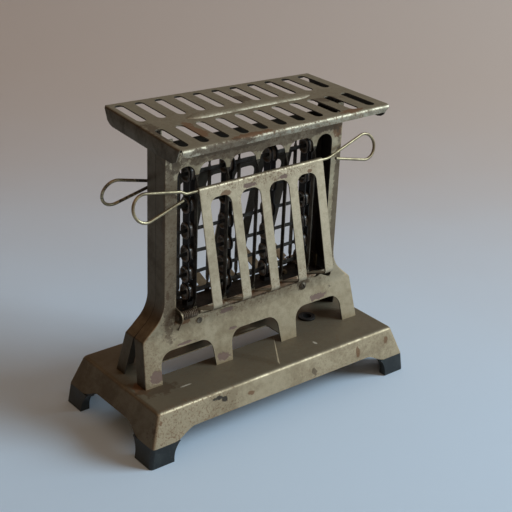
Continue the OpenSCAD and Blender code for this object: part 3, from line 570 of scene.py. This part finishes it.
def archHeight(x, y):
    size = panSizes
    reach = (abs(x) - size["archX"][0]) / (size["archX"][1] - size["archX"][0])
    if abs(abs(y) - size["deckHalf"][1]) > abs(abs(x) - size["deckHalf"][0]):
        reach = (abs(y) - size["archY"][0]) / (size["archY"][1] - size["archY"][0])
    reach = max(0.0, min(1.0, reach))
    ease = (1 - math.cos(math.pi * reach)) / 2
    return size["archHeight"] + (size["lowHeight"] - size["archHeight"]) * ease


def makePan():
    size = panSizes
    (hx, hy), (runX, runY), r = size["deckHalf"], size["run"], size["cornerRadius"]
    spots = []  # place on the edge as a share of each half size, and the outward direction
    corners = [(1, -1), (1, 1), (-1, 1), (-1, -1)]
    for i, corner in enumerate(corners):
        start = -90 + 90 * i
        for k in range(9):
            a = math.radians(start + 90 * k / 8)
            spots.append((corner, (math.cos(a), math.sin(a))))
        after = corners[(i + 1) % 4]
        count = 44 if corner[0] == after[0] else 96
        a = math.radians(start + 90)
        for k in range(1, count):
            share = k / count
            mixed = tuple(p + (q - p) * share for p, q in zip(corner, after))
            spots.append((mixed, (math.cos(a), math.sin(a))))

    def ring(outX, outY, height):
        return [Vector((sx * (hx - r + outX) + r * nx, sy * (hy - r + outY) + r * ny, height))
                for (sx, sy), (nx, ny) in spots]

    turn = math.radians(size["bendTurn"])
    reach = size["bendRadius"] * math.tan(turn / 2)
    rings = []
    for k in range(8):
        a = turn * k / 7
        out = -reach + size["bendRadius"] * math.sin(a)
        rings.append(ring(out, out, size["deckHeight"] - size["bendRadius"] * (1 - math.cos(a))))
    bendEnd = rings[-1]
    foot = ring(runX, runY, size["lowHeight"])
    levels = 7
    for k in range(1, levels + 1):
        row = []
        for a, b in zip(bendEnd, foot):
            low = archHeight(b.x, b.y)
            share = (a.z - low) / (a.z - b.z) * k / levels
            row.append(a.lerp(b, share))
        rings.append(row)
    bm = bmesh.new()
    addSkin(bm, rings, closed=True)
    rim = [(p.x, p.y) for p in rings[0]]
    slot = roundedPath([(size["slotX"][0], -size["slotHalf"]), (size["slotX"][1], -size["slotHalf"]),
                        (size["slotX"][1], size["slotHalf"]), (size["slotX"][0], size["slotHalf"])],
                       1.5, closed=True)
    holeX, holeRadius = size["hole"]
    hole = [(holeX + holeRadius * math.cos(a / 16 * math.pi), holeRadius * math.sin(a / 16 * math.pi))
            for a in range(32)]
    holes = [slot, hole]
    facets = []
    for side in (1, -1):
        wide = [(side * x, side * y) for x, y in ((-21.5, -8.4), (0, -41.6), (21.5, -8.4))]
        narrow = [(side * x, side * y) for x, y in ((-16.5, -9.8), (0.3, -38.6), (20.4, -9.2))]
        wide, narrow = [roundedPath(p, 0.8, closed=True, steps=3) for p in (wide, narrow)]
        holes.append(wide)
        facets.append((wide, narrow))

    def deck(x, y, lift=0.0):
        sag = 0.12 * math.sin(x / 31 + 0.6) * math.cos(y / 19) * (1 - (y / 42) ** 2)
        return Vector((x, y, size["deckHeight"] + lift + sag * max(0.0, 1 - (x / 98) ** 2)))

    addPlate(bm, [rim] + holes, 6, deck)
    for wide, narrow in facets:
        lift = size["facetLift"]
        addSkin(bm, [[deck(*p) for p in wide], [deck(*p, lift) for p in narrow]], closed=True)
        addPlate(bm, [narrow], 5, lambda x, y: deck(x, y, lift))
    pan = solidPiece("basePan", bm, edge=0.14, thickness=size["thickness"], outward=(0, 0, 1))
    placePiece(pan, "pan", "frame", ["base_pan"])


makePan()
print("base made")

# the rack's sizes and twist, which the body's tongues follow

rackSizes = {
    "half": (83.0, 41.7), "top": 203.3, "bend": 2.2, "endBend": 1.4, "lips": (4.8, 3.2), "flap": 10.8,
    "slotPitch": 14.76, "slotShift": -2.1, "slotWidth": 6.4, "slotY": (7.2, 36.7),
    "beadHalf": 49.5, "beadWidth": 4.0, "beadHeight": 1.9, "thickness": 0.8,
    "cornerLifts": {"frontLeft": -1.4, "rearLeft": 3.9, "frontRight": -1.2, "rearRight": -0.8},
}


def rackLift(x, y):
    # the photographed rack is a little twisted; lifts at its corners in millimetres
    lifts = rackSizes["cornerLifts"]
    across, along = (x / rackSizes["half"][0] + 1) / 2, (y / rackSizes["half"][1] + 1) / 2
    front = lifts["frontLeft"] + (lifts["frontRight"] - lifts["frontLeft"]) * across
    rear = lifts["rearLeft"] + (lifts["rearRight"] - lifts["rearLeft"]) * across
    return front + (rear - front) * along


# body halves

bodySizes = {
    "half": 72.0, "face": -9.9, "depth": 9.75, "deck": 34.8, "top": 187.0, "wallTop": 197.0,
    "earInner": 66.5, "crease": 66.0, "splay": 13.6, "foldRadius": 0.9, "thickness": 0.8,
    "window": (72.3, 177.5), "windowHalf": 63.0, "barPitch": 24.0, "barWidth": 3.0,
    "legWindows": ((-76.5, -36.2), (-19.6, 19.6), (36.2, 76.5)), "legWindowTop": 54.6,
    "tongueTop": 202.3, "tongueY": (-4.0, -0.4), "hinge": (-13.3, 77.5), "lugRadius": 4.6,
    "lugX": 63.4,
}
creaseRows = [63.6, 64.8, 66.0, 67.2, 68.4]


def bodyPoint(x, depth, z):
    # a point of the front half, depth behind its outer face, splayed below the crease
    below = max(0.0, min(4.8, bodySizes["crease"] + 2.4 - z))
    shift = below ** 2 / 9.6 + max(0.0, bodySizes["crease"] - 2.4 - z)
    ripple = 0.1 * math.sin(x / 17 + z / 23) * math.cos(z / 29 + 0.5)
    return Vector((x, bodySizes["face"] + depth + ripple * (depth < 0.01)
                   - shift * math.tan(math.radians(bodySizes["splay"])), z))


def withRows(path, rows):
    made = []
    for a, b in zip(path, path[1:]):
        made.append(tuple(a))
        cuts = [r for r in rows if min(a[1], b[1]) + 1e-6 < r < max(a[1], b[1]) - 1e-6]
        for r in sorted(cuts, reverse=b[1] < a[1]):
            share = (r - a[1]) / (b[1] - a[1])
            made.append((a[0] + (b[0] - a[0]) * share, r))
    return made + [tuple(path[-1])]


def windowLoop():
    # one opening; the webs between its bays end where the guard bars stand
    size = bodySizes
    low, high = size["window"]
    cuts = [i * size["barPitch"] + s * size["barWidth"] / 2 for i in range(-2, 3) for s in (-1, 1)]
    cuts = [-size["windowHalf"]] + cuts + [size["windowHalf"]]
    corners, radii = [], []
    for level, web, order in ((low, low + 7, 1), (high, high - 7, -1)):
        for bay in list(zip(cuts[::2], cuts[1::2]))[::order]:
            a, b = bay[::order]
            r = min(6.9, abs(b - a) / 2 - 0.2)
            corners += [(a, web), (a, level), (b, level), (b, web)]
            radii += [0, r, r, 0]
    return roundedPath(corners, radii, True)


def makeBody(label, turned):
    size = bodySizes
    half, fold = size["half"], size["foldRadius"]
    bm = bmesh.new()
    side = roundedPath([(91.3, size["deck"]), (88.6, 64.4), (half, 79.2), (half, size["wallTop"])],
                       [0, 2.6, 22, 0], steps=12)
    side = withRows(side, creaseRows + list(range(40, 60, 6)) + list(range(95, 196, 6)))
    inner = offsetPath(side, fold)
    ear = roundedPath([(half - fold, size["wallTop"]), (size["earInner"], size["wallTop"]),
                       (size["earInner"], size["top"]), (-size["earInner"], size["top"]),
                       (-size["earInner"], size["wallTop"]), (fold - half, size["wallTop"])],
                      [0, 0, 5, 5, 0, 0])
    windows = []
    for x0, x1 in size["legWindows"]:
        windows += roundedPath([(x0 - 1.5, size["deck"]), (x0, size["legWindowTop"]),
                                (x1, size["legWindowTop"]), (x1 + 1.5, size["deck"])], [0, 9, 9, 0])
    outline = inner + ear[1:-1] + [(-x, z) for x, z in reversed(inner)] + windows
    addPlate(bm, [outline, windowLoop()], 5, lambda x, z: bodyPoint(x, 0, z), creaseRows)
    for s in (-1, 1):
        rings = []
        for k in range(6):
            a = math.pi / 2 * k / 5
            path = offsetPath(side, fold * (1 - math.sin(a)))
            rings.append([bodyPoint(s * x, fold * (1 - math.cos(a)), z)
                          for (x, _), (_, z) in zip(path, side if k == 5 else path)])
        for depth in (3, 5, 7, 9, size["depth"]):
            rings.append([bodyPoint(s * x, depth, z) for x, z in side])
        addSkin(bm, rings)
    for s in (-1, 1):  # tongues up to the rack and lugs for the hinge pin
        top = size["tongueTop"] + rackLift(-s * half if turned else s * half, 0)
        strap = roundedPath([(half - 0.9, 193), (half - 0.9, top), (half - 10, top)], [0, 1.6, 0])
        addSkin(bm, [[Vector((s * x, y, z)) for x, z in strap] for y in size["tongueY"]])
        y0, z0 = size["hinge"]
        r = size["lugRadius"]
        lug = [(y0 + r * math.cos(math.radians(a)), z0 + r * math.sin(math.radians(a)))
               for a in range(90, 271, 12)]
        lug += [(size["face"] + 0.2, z0 - r - 0.8), (size["face"] + 0.2, z0 + r + 0.8)]
        addPlate(bm, [lug], 3, lambda y, z: Vector((s * size["lugX"], y, z)))
    piece = solidPiece(label + "Body", bm, 0.13, size["thickness"], outward=(0, -1, 0),
                       turned=turned)
    placePiece(piece, "body", "frame", [label + "_panel"])


for label, turned in halves:
    makeBody(label, turned)
print("body halves made")

# guard bars: strips turned edge on between their flat ends

barSizes = {"Width": 3.0 * mm, "Thickness": 0.8 * mm, "Length": 92.0 * mm, "Twist Height": 7.0 * mm,
            "Pitch": 24.0 * mm, "Count": 5}


def barGroup():
    tree, given = newGroup("guardBars", {"Width": "Float", "Thickness": "Float", "Length": "Float",
                                         "Twist Height": "Float", "Pitch": "Float", "Count": "Int",
                                         "Material": "Material"})
    size = addNode(tree, "CombineXYZ", {0: given["Width"], 1: given["Thickness"],
                                        2: given["Length"]}).outputs[0]
    strip = geoNode(tree, "MeshCube", {"Size": size, "Vertices X": 2, "Vertices Y": 2,
                                       "Vertices Z": 81}).outputs[0]
    place = geoNode(tree, "InputPosition").outputs[0]
    level = calc(tree, "ABSOLUTE", addNode(tree, "SeparateXYZ", {0: place}).outputs[2])
    fromEnd = calc(tree, "SUBTRACT", times(tree, given["Length"], 0.5), level)
    turn = band(tree, fromEnd, 0.0, given["Twist Height"], math.pi / 2)
    turned = addNode(tree, "VectorRotate", {"Vector": place, "Angle": turn},
                     rotation_type="Z_AXIS").outputs[0]
    twisted = geoNode(tree, "SetPosition", {"Geometry": strip, "Position": turned}).outputs[0]
    step = addNode(tree, "CombineXYZ", {0: given["Pitch"]}).outputs[0]
    span = times(tree, calc(tree, "SUBTRACT", given["Count"], 1.0), -0.5)
    start = addNode(tree, "VectorMath", {0: step, 3: span}, operation="SCALE").outputs[0]
    line = geoNode(tree, "MeshLine", {"Count": given["Count"], "Start Location": start,
                                      "Offset": step}).outputs[0]
    bars = geoNode(tree, "InstanceOnPoints", {"Points": line, "Instance": twisted})
    closeGroup(tree, bars.outputs[0], given["Material"])
    return tree


barTree = barGroup()
for sideName, direction in (("front", -1), ("rear", 1)):
    bars = runGroup(sideName + "GuardBars", barTree, {**barSizes, "Material": finishes["bar"]})
    bars.data.transform(Matrix.Translation((0, direction * 9.5 * mm, 124.9 * mm)))
    roundEdges(bars, 0.12)
    placePiece(bars, "bar", "frame", [sideName + "_guard_bars"])
print("guard bars made")

# warming rack


def makeRack():
    size = rackSizes
    top, bend, endBend = size["top"], size["bend"], size["endBend"]
    hx, hy = size["half"][0] - endBend, size["half"][1] - bend
    xs = [-hx + 2 * hx * k / 54 for k in range(55)]
    ys = [-hy + 2 * hy * k / 28 for k in range(29)]
    rim = [(x, -hy) for x in xs] + [(hx, y) for y in ys[1:-1]]
    rim += [(x, hy) for x in reversed(xs)] + [(-hx, y) for y in reversed(ys[1:-1])]
    holes = []
    for i in range(-5, 6):
        for s in (-1, 1):
            x, r = size["slotShift"] + i * size["slotPitch"], size["slotWidth"] / 2
            y0, y1 = sorted((s * size["slotY"][0], s * size["slotY"][1]))
            holes.append(roundedPath([(x - r, y0), (x + r, y0), (x + r, y1), (x - r, y1)],
                                     r * 0.999, True, steps=6))
    stations = [size["beadHalf"] * math.sin(math.pi / 2 * k / 16) for k in range(-16, 17)]

    def taper(x):
        return max(0.0, min(1.0, (size["beadHalf"] - abs(x)) / 9)) ** 0.6

    bead = [(x, -size["beadWidth"] * taper(x)) for x in stations]
    bead += [(x, size["beadWidth"] * taper(x)) for x in reversed(stations[1:-1])]

    def flat(x, y):
        wave = 0.18 * math.sin(x / 24 + 1) * (y / hy) ** 2 + 0.1 * math.cos(x / 15 + y / 12)
        return Vector((x, y, top + wave * (1 - (x / hx) ** 4) * (1 - (y / hy) ** 4)))

    def lowered(x, y, down):
        return Vector((x, y, top - down))

    bm = bmesh.new()
    addPlate(bm, [rim, bead] + holes, 4, flat)
    rows = []
    for x in stations:
        wide, tall = size["beadWidth"] * taper(x), size["beadHeight"] * taper(x)
        row = []
        for k in range(-6, 7):
            point = flat(x, wide * k / 6)
            point.z += tall * (1 - (k / 6) ** 2) ** 0.75
            row.append(point)
        rows.append(row)
    addSkin(bm, rows)
    for s in (-1, 1):
        rings = []
        for k in range(7):
            a = math.pi / 2 * k / 6
            rings.append([lowered(x, s * (hy + bend * math.sin(a)), bend * (1 - math.cos(a)))
                          for x in xs])
        for share in (0.5, 1):
            row = []
            for x in xs:
                left = hx - abs(x)
                low = max(bend + 0.3, size["lips"][s > 0] - max(0.0, 2.6 - left))
                wobble = 0.35 * math.sin(x / 19 + s) * share
                row.append(lowered(x, s * (hy + bend - 0.3 * share + wobble),
                                   bend + (low - bend) * share))
            rings.append(row)
        addSkin(bm, rings)
        rings = []
        for k in range(6):
            a = math.pi / 2 * k / 5
            rings.append([lowered(s * (hx + endBend * math.sin(a)), y,
                                  endBend * (1 - math.cos(a))) for y in ys])
        for share in (0.2, 0.4, 0.6, 0.8, 1):
            row = []
            for y in ys:
                over = max(0.0, abs(y) - (hy - 9.0))
                drop = size["flap"] - (9.0 - math.sqrt(max(0.0, 81 - over ** 2)))
                down = endBend + max(0.3, drop - endBend) * share
                bulge = 0.4 * math.sin(math.pi * share) * math.cos(y / 30)
                row.append(lowered(s * (hx + endBend + bulge), y, down))
            rings.append(row)
        addSkin(bm, rings)
    for vert in bm.verts:
        vert.co.z += rackLift(vert.co.x, vert.co.y)
    rack = solidPiece("warmingRack", bm, 0.13, size["thickness"], outward=(0, 0, 1))
    placePiece(rack, "rack", "frame", ["top_rack"])


makeRack()
print("rack made")

# doors: one flat blank folded over the wire, down the slats, round the toe and into the hinge

doorSizes = {
    "shift": 0.6, "half": 50.5, "pitch": 23.45, "slat": 7.0, "thickness": 0.8,
    "wire": (-13.3, 161.2), "rollRadius": 1.45, "toe": (-29.48, 88.8), "toeRadius": 2.6,
    "hinge": (-13.3, 77.5), "barrelRadius": 1.65, "windowTop": 155.6, "windowCorner": 6.0,
    "springRoom": 2.4, "springReach": 3.0,
}


def straightHeading(c1, r1, c2, r2):
    # of the straight run between two circles; a radius is negative where the path turns right
    between = Vector(c2) - Vector(c1)
    heading = math.atan2(between.y, between.x) - math.asin((r2 - r1) / between.length)
    return heading % (2 * math.pi)


def arcPoints(centre, radius, start, stop, steps):
    # headings from start to stop; a left turn has a positive radius
    made = []
    for k in range(steps + 1):
        heading = start + (stop - start) * k / steps
        left = Vector((-math.sin(heading), math.cos(heading)))
        made.append(Vector(centre) - left * radius)
    return made


def doorProfile():
    size = doorSizes
    down = straightHeading(size["wire"], size["rollRadius"], size["toe"], size["toeRadius"])
    back = straightHeading(size["toe"], size["toeRadius"], size["hinge"], -size["barrelRadius"])
    path = arcPoints(size["wire"], size["rollRadius"], down - math.radians(285), down, 16)
    path += arcPoints(size["toe"], size["toeRadius"], down, back, 8)
    path += arcPoints(size["hinge"], -size["barrelRadius"], back, back - math.radians(318), 18)
    return path


def makeDoor(label, turned):
    size = doorSizes
    path = doorProfile()
    lengths = [0.0]
    for a, b in zip(path, path[1:]):
        lengths.append(lengths[-1] + (b - a).length)

    def fold(x, s):
        i = max(k for k in range(len(path) - 1) if lengths[k] <= s + 1e-6)
        share = (s - lengths[i]) / (lengths[i + 1] - lengths[i])
        y, z = path[i].lerp(path[i + 1], share)
        return Vector((x, y, z))

    share = (path[16].y - size["windowTop"]) / (path[16].y - path[17].y)
    windowTop = lengths[16] + (lengths[17] - lengths[16]) * share
    windowEnd = lengths[26] - 0.4
    x0, x1 = size["shift"] - size["half"], size["shift"] + size["half"]
    notch = lengths[26] - size["springReach"]
    outline = [(x0, 0), (x1, 0), (x1, lengths[-1]), (x0 + size["springRoom"], lengths[-1]),
               (x0 + size["springRoom"], notch), (x0, notch)]
    holes = []
    for i in range(-2, 2):
        a = size["shift"] + i * size["pitch"] + size["slat"] / 2
        b = size["shift"] + (i + 1) * size["pitch"] - size["slat"] / 2
        holes.append(roundedPath([(a, windowEnd), (b, windowEnd), (b, windowTop), (a, windowTop)],
                                 [0.8, 0.8, size["windowCorner"], size["windowCorner"]], True))
    bm = bmesh.new()
    addPlate(bm, [outline] + holes, 4, fold, lengths[1:-1])
    door = solidPiece(label + "Door", bm, 0.14, size["thickness"], offset=0.0, turned=turned)
    placePiece(door, "door", label + "_door", [label + "_door"])


for label, turned in halves:
    makeDoor(label, turned)
print("doors made")

# handle wires

wireSizes = {"radius": 1.0, "loop": 8.8, "half": (15.3, 12.9), "join": (59.0, 61.5),
             "lean": 13.63, "rail": (-13.3, 161.2),
             "front": {"tips": (99.5, 97.5), "tilt": (2.7, -3.9)},
             "rear": {"tips": (102.0, 92.0), "tilt": (-0.8, -3.9)}}


def loopPath(bent, index):
    # from the rail's axis into the upper arm, round the loop and back along the free lower arm
    size = wireSizes
    half, tilt = math.radians(size["half"][index]), math.radians(bent["tilt"][index])
    reach = size["loop"] / math.sin(half)
    knee = bent["tips"][index] - size["loop"] - reach
    start, stop = size["join"][index] - 3.4, size["join"][index] + 1.8
    rise = math.tan(half + tilt)
    height = (stop - knee) * rise
    made = []
    for k in range(9):
        t = k / 9
        made.append((start + (stop - start) * t,
                     height * (3 * t * t - 2 * t ** 3) + rise * (stop - start) * (t ** 3 - t * t)))
    flat = []
    turn = math.pi / 2 + half
    for k in range(49):
        a = turn - 2 * turn * k / 48
        flat.append((reach + size["loop"] * math.cos(a), size["loop"] * math.sin(a)))
    free = max(size["join"][index] - knee, 6.7)
    flat.append((free, -math.tan(half) * free))
    return made + [(knee + x * math.cos(tilt) - y * math.sin(tilt),
                    x * math.sin(tilt) + y * math.cos(tilt)) for x, y in flat]


def makeHandle(label, turned):
    size = wireSizes
    bent = size[label]
    right, left = loopPath(bent, 0), loopPath(bent, 1)
    path = [(-x, z) for x, z in reversed(left)] + right
    lean = Matrix.Rotation(math.radians(-size["lean"]), 4, "X")
    offset = Vector((0, *size["rail"]))
    points = [lean @ Vector((x, 0.12 * math.sin(x / 9), z)) + offset for x, z in path]
    if turned:
        points = [Vector((-p.x, -p.y, p.z)) for p in points]
    wire = sweepWire(label + "Handle", points, size["radius"], "wire")
    placePiece(wire, "wire", label + "_door", [label + "_handle_wire"])


for label, turned in halves:
    makeHandle(label, turned)

# door springs on their pins

springSizes = {"turns": 8.25, "coil": 2.55, "wire": 0.45, "low": -61.25, "high": -49.85,
               "hinge": (-13.3, 77.5)}


def makeSpring(label, turned):
    size = springSizes
    y0, z0 = size["hinge"]
    x = size["low"] - 0.1
    path = [(x, -10.45, 66.2), (x, -10.7, 67.2), (x, -12.8, 71.2), (x, -14.7, 74.6)]
    count = 200
    for i in range(count + 1):
        t = i / count
        a = math.pi - 2 * math.pi * size["turns"] * t
        path.append((size["low"] + (size["high"] - size["low"]) * t, y0 + size["coil"] * math.cos(a),
                     z0 + size["coil"] * math.sin(a)))
    end = Vector(path[-1])
    path += [tuple(end + Vector((0.45, 0.9, -0.1))), tuple(end + Vector((1.35, 1.15, -0.2)))]
    if turned:
        path = [(-px, -py, pz) for px, py, pz in path]
    wire = sweepWire(label + "Spring", path, size["wire"], "spring", sides=12)
    placePiece(wire, "spring", "frame", [label + "_door_spring"])


for label, turned in halves:
    makeSpring(label, turned)
print("wires and springs made")

# resistance ribbon: six rows joined by folded ends

ribbonSizes = {"rows": (86, 98.8, 113.4, 129.4, 146.9, 168.2), "height": 2.8, "thickness": 0.3,
               "left": -54.5, "right": 59.0, "links": (-56.0, 58.0)}


def makeRibbon():
    size = ribbonSizes
    bm = bmesh.new()
    for i, z in enumerate(size["rows"]):
        rings = []
        for x in np.linspace(size["left"], size["right"], 118):
            wave = 0.22 * math.sin(x / 3.1 + i) * math.cos(x / 11 + 2 * i)
            sag = -0.35 * math.cos(x / 10.7 + i) ** 2
            rings.append([Vector((x, wave, z + sag - size["height"] / 2 * 0.92)),
                          Vector((x, wave, z + sag + size["height"] / 2 * 0.92))])
        addSkin(bm, rings)
    for i in range(5):
        z0, z1 = size["rows"][i], size["rows"][i + 1]
        x = size["links"][i % 2]
        rings = [[Vector((x - 1.4, 0.1 * math.sin(z), z)), Vector((x + 1.4, 0.1 * math.sin(z), z))]
                 for z in np.linspace(z0 - 1.3, z1 + 1.3, 9)]
        addSkin(bm, rings)
    ribbon = solidPiece("heatingRibbon", bm, 0.05, size["thickness"], offset=0.0)
    placePiece(ribbon, "ribbon", "frame", ["heating_ribbons", "ribbon_links"])


makeRibbon()

# porcelain beads: one glazed bead, set on every row of every post

beadSizes = {"hole": (7.4, 9.6), "posts": (-49.2, -19.5, 15.6, 47.2),
             # place along the bead, and the radius as a share of the hole's width
             "profile": [(-1.1, 0.50), (-1.1, 0.55), (-0.9, 0.59), (-0.5, 0.6), (-0.02, 0.6),
                         (0.0, 0.48), (5.2, 0.48), (5.6, 0.46), (5.7, 0.42), (5.3, 0.36),
                         (2.0, 0.33), (-0.2, 0.35), (-0.8, 0.42)]}


def beadMesh():
    size = beadSizes
    width, height = size["hole"]
    bm = bmesh.new()
    rings = []
    lift = (height - width) / 2
    turns = [2 * math.pi * k / 28 for k in range(28)]
    for x, share in size["profile"]:
        r = width * share
        rings.append([(x, r * math.cos(a), r * math.sin(a) + (lift if math.sin(a) > 0 else -lift))
                      for a in turns])
    rings.append(rings[0])
    addSkin(bm, rings, closed=True)
    return solidPiece("beadPattern", bm, 0.0)


def beadGroup():
    tree, given = newGroup("porcelainBeads", {"Places": "Geometry", "Bead": "Object",
                                              "Material": "Material"})
    bead = geoNode(tree, "ObjectInfo", {"Object": given["Bead"]}).outputs["Geometry"]
    beads = geoNode(tree, "InstanceOnPoints", {"Points": given["Places"], "Instance": bead})
    closeGroup(tree, beads.outputs[0], given["Material"])
    return tree


pattern = beadMesh()
places = bpy.data.meshes.new("beadPlaces")
places.from_pydata([(x * mm, 0, z * mm) for x in beadSizes["posts"] for z in ribbonSizes["rows"]],
                   [], [])
beads = runGroup("porcelainBeads", beadGroup(), {"Bead": pattern, "Material": finishes["bead"]},
                 places)
bpy.data.objects.remove(pattern)
placePiece(beads, "bead", "frame", ["post_insulators_%d" % i for i in (1, 2, 3, 4)])
print("element made")

# the other solids keep their shape and get rounded edges

softened = [("foot_" + corner, 0.7, "foot")
            for corner in ("front_left", "front_right", "rear_left", "rear_right")]
softened += [("element_post_%d" % i, 0.08, "post") for i in (1, 2, 3, 4)]
softened += [
    ("element_tray", 0.15, "inner"), ("element_cap", 0.15, "inner"),
    ("panel_screws", 0.12, "screw"), ("panel_rivets", 0.2, "screw"),
    ("cord_bushing", 0.4, "post"), ("terminal_block", 0.3, "post"),
    ("front_hinge_pin", 0.25, "pin"), ("rear_hinge_pin", 0.25, "pin"),
]


def soften(node, width, finish):
    bm = bmesh.new()
    bm.from_mesh(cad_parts[node].data)
    bmesh.ops.remove_doubles(bm, verts=bm.verts, dist=2e-6)
    bmesh.ops.dissolve_limit(bm, angle_limit=math.radians(0.6), verts=bm.verts, edges=bm.edges)
    piece = smoothObject("soft_" + node, bm)
    roundEdges(piece, width, limit=32)
    piece.data.set_sharp_from_angle(angle=math.radians(50))
    placePiece(piece, finish, "frame", [node])


for node, width, finish in softened:
    soften(node, width, finish)

kept = {"foot_bosses": "inner", "foot_screws": "screw", "panel_nuts": "screw",
        "terminal_screws": "brass", "lead_strips": "brass"}
for node, finish in kept.items():
    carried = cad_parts[node]
    carried.data.materials.clear()
    carried.data.materials.append(finishes[finish])
print("other solids dressed")

# stage: pale sweep, one cool window of light from the right, warm room light

# painted light: the sweep's colour runs from cool and bright near the toaster to warm and darker far
# off, standing in for how the window light falls
stageLook = {"near": (0.66, 0.79, 0.93), "far": (0.57, 0.47, 0.41), "fade": (-0.05, 0.7),
             "rise": 1.4, "behind": 1.15, "radius": 0.8}


def makeSweep():
    size = stageLook
    bm = bmesh.new()
    profile = [(-2.5, 0.0), (size["behind"] - size["radius"], 0.0)]
    for k in range(1, 13):
        a = math.pi / 2 * k / 12
        profile.append((size["behind"] - size["radius"] + size["radius"] * math.sin(a),
                        size["radius"] * (1 - math.cos(a))))
    profile.append((size["behind"], size["rise"] + size["radius"]))
    turn = Matrix.Rotation(math.radians(cameraSetup["azimuth"]), 4, "Z")
    rings = [[turn @ Vector((x, y, z - 0.0002)) for y, z in profile] for x in (-3, 3)]
    addSkin(bm, rings)
    bmesh.ops.recalc_face_normals(bm, faces=bm.faces)
    sweep = smoothObject("sweep", bm)
    material, tree, shader = newMaterial("palePaper")
    where = addNode(tree, "TexCoord").outputs["Object"]
    away = turn @ Vector((0, 1, 0))
    depth = addNode(tree, "VectorMath", {0: where, 1: away}, operation="DOT_PRODUCT").outputs["Value"]
    blotch = times(tree, noise(tree, where, 3, 3), 0.15)
    share = band(tree, plus(tree, depth, blotch), *size["fade"])
    colour = blendColour(tree, share, size["near"], size["far"])
    tree.links.new(colour, shader.inputs["Base Color"])
    shader.inputs["Roughness"].default_value = 0.85
    sweep.data.materials.append(material)


makeSweep()

lampSetup = [
    # name, azimuth, elevation, distance, size, watts, colour
    ("window", 52, 30, 2.6, 1.3, 64.0, (0.70, 0.88, 1.0)),
    ("bounce", -20, 62, 1.6, 1.2, 2.0, (1.0, 0.86, 0.72)),
]
for name, azimuth, elevation, distance, width, watts, colour in lampSetup:
    lamp = bpy.data.lights.new(name, "AREA")
    lamp.energy = watts
    lamp.color = colour
    lamp.shape = "SQUARE"
    lamp.size = width
    holder = newObject(name, lamp)
    a, e = math.radians(azimuth), math.radians(elevation)
    away = Vector((math.sin(a) * math.cos(e), -math.cos(a) * math.cos(e), math.sin(e)))
    holder.location = Vector(cameraSetup["aim"]) + away * distance
    holder.rotation_mode = "QUATERNION"
    holder.rotation_quaternion = away.to_track_quat("Z", "Y")

world = bpy.data.worlds.new("room")
scene.world = world
world.use_nodes = True
background = world.node_tree.nodes["Background"]
background.inputs["Color"].default_value = (0.43, 0.27, 0.155, 1)
background.inputs["Strength"].default_value = 0.42
print("stage made")

bpy.context.view_layer.update()
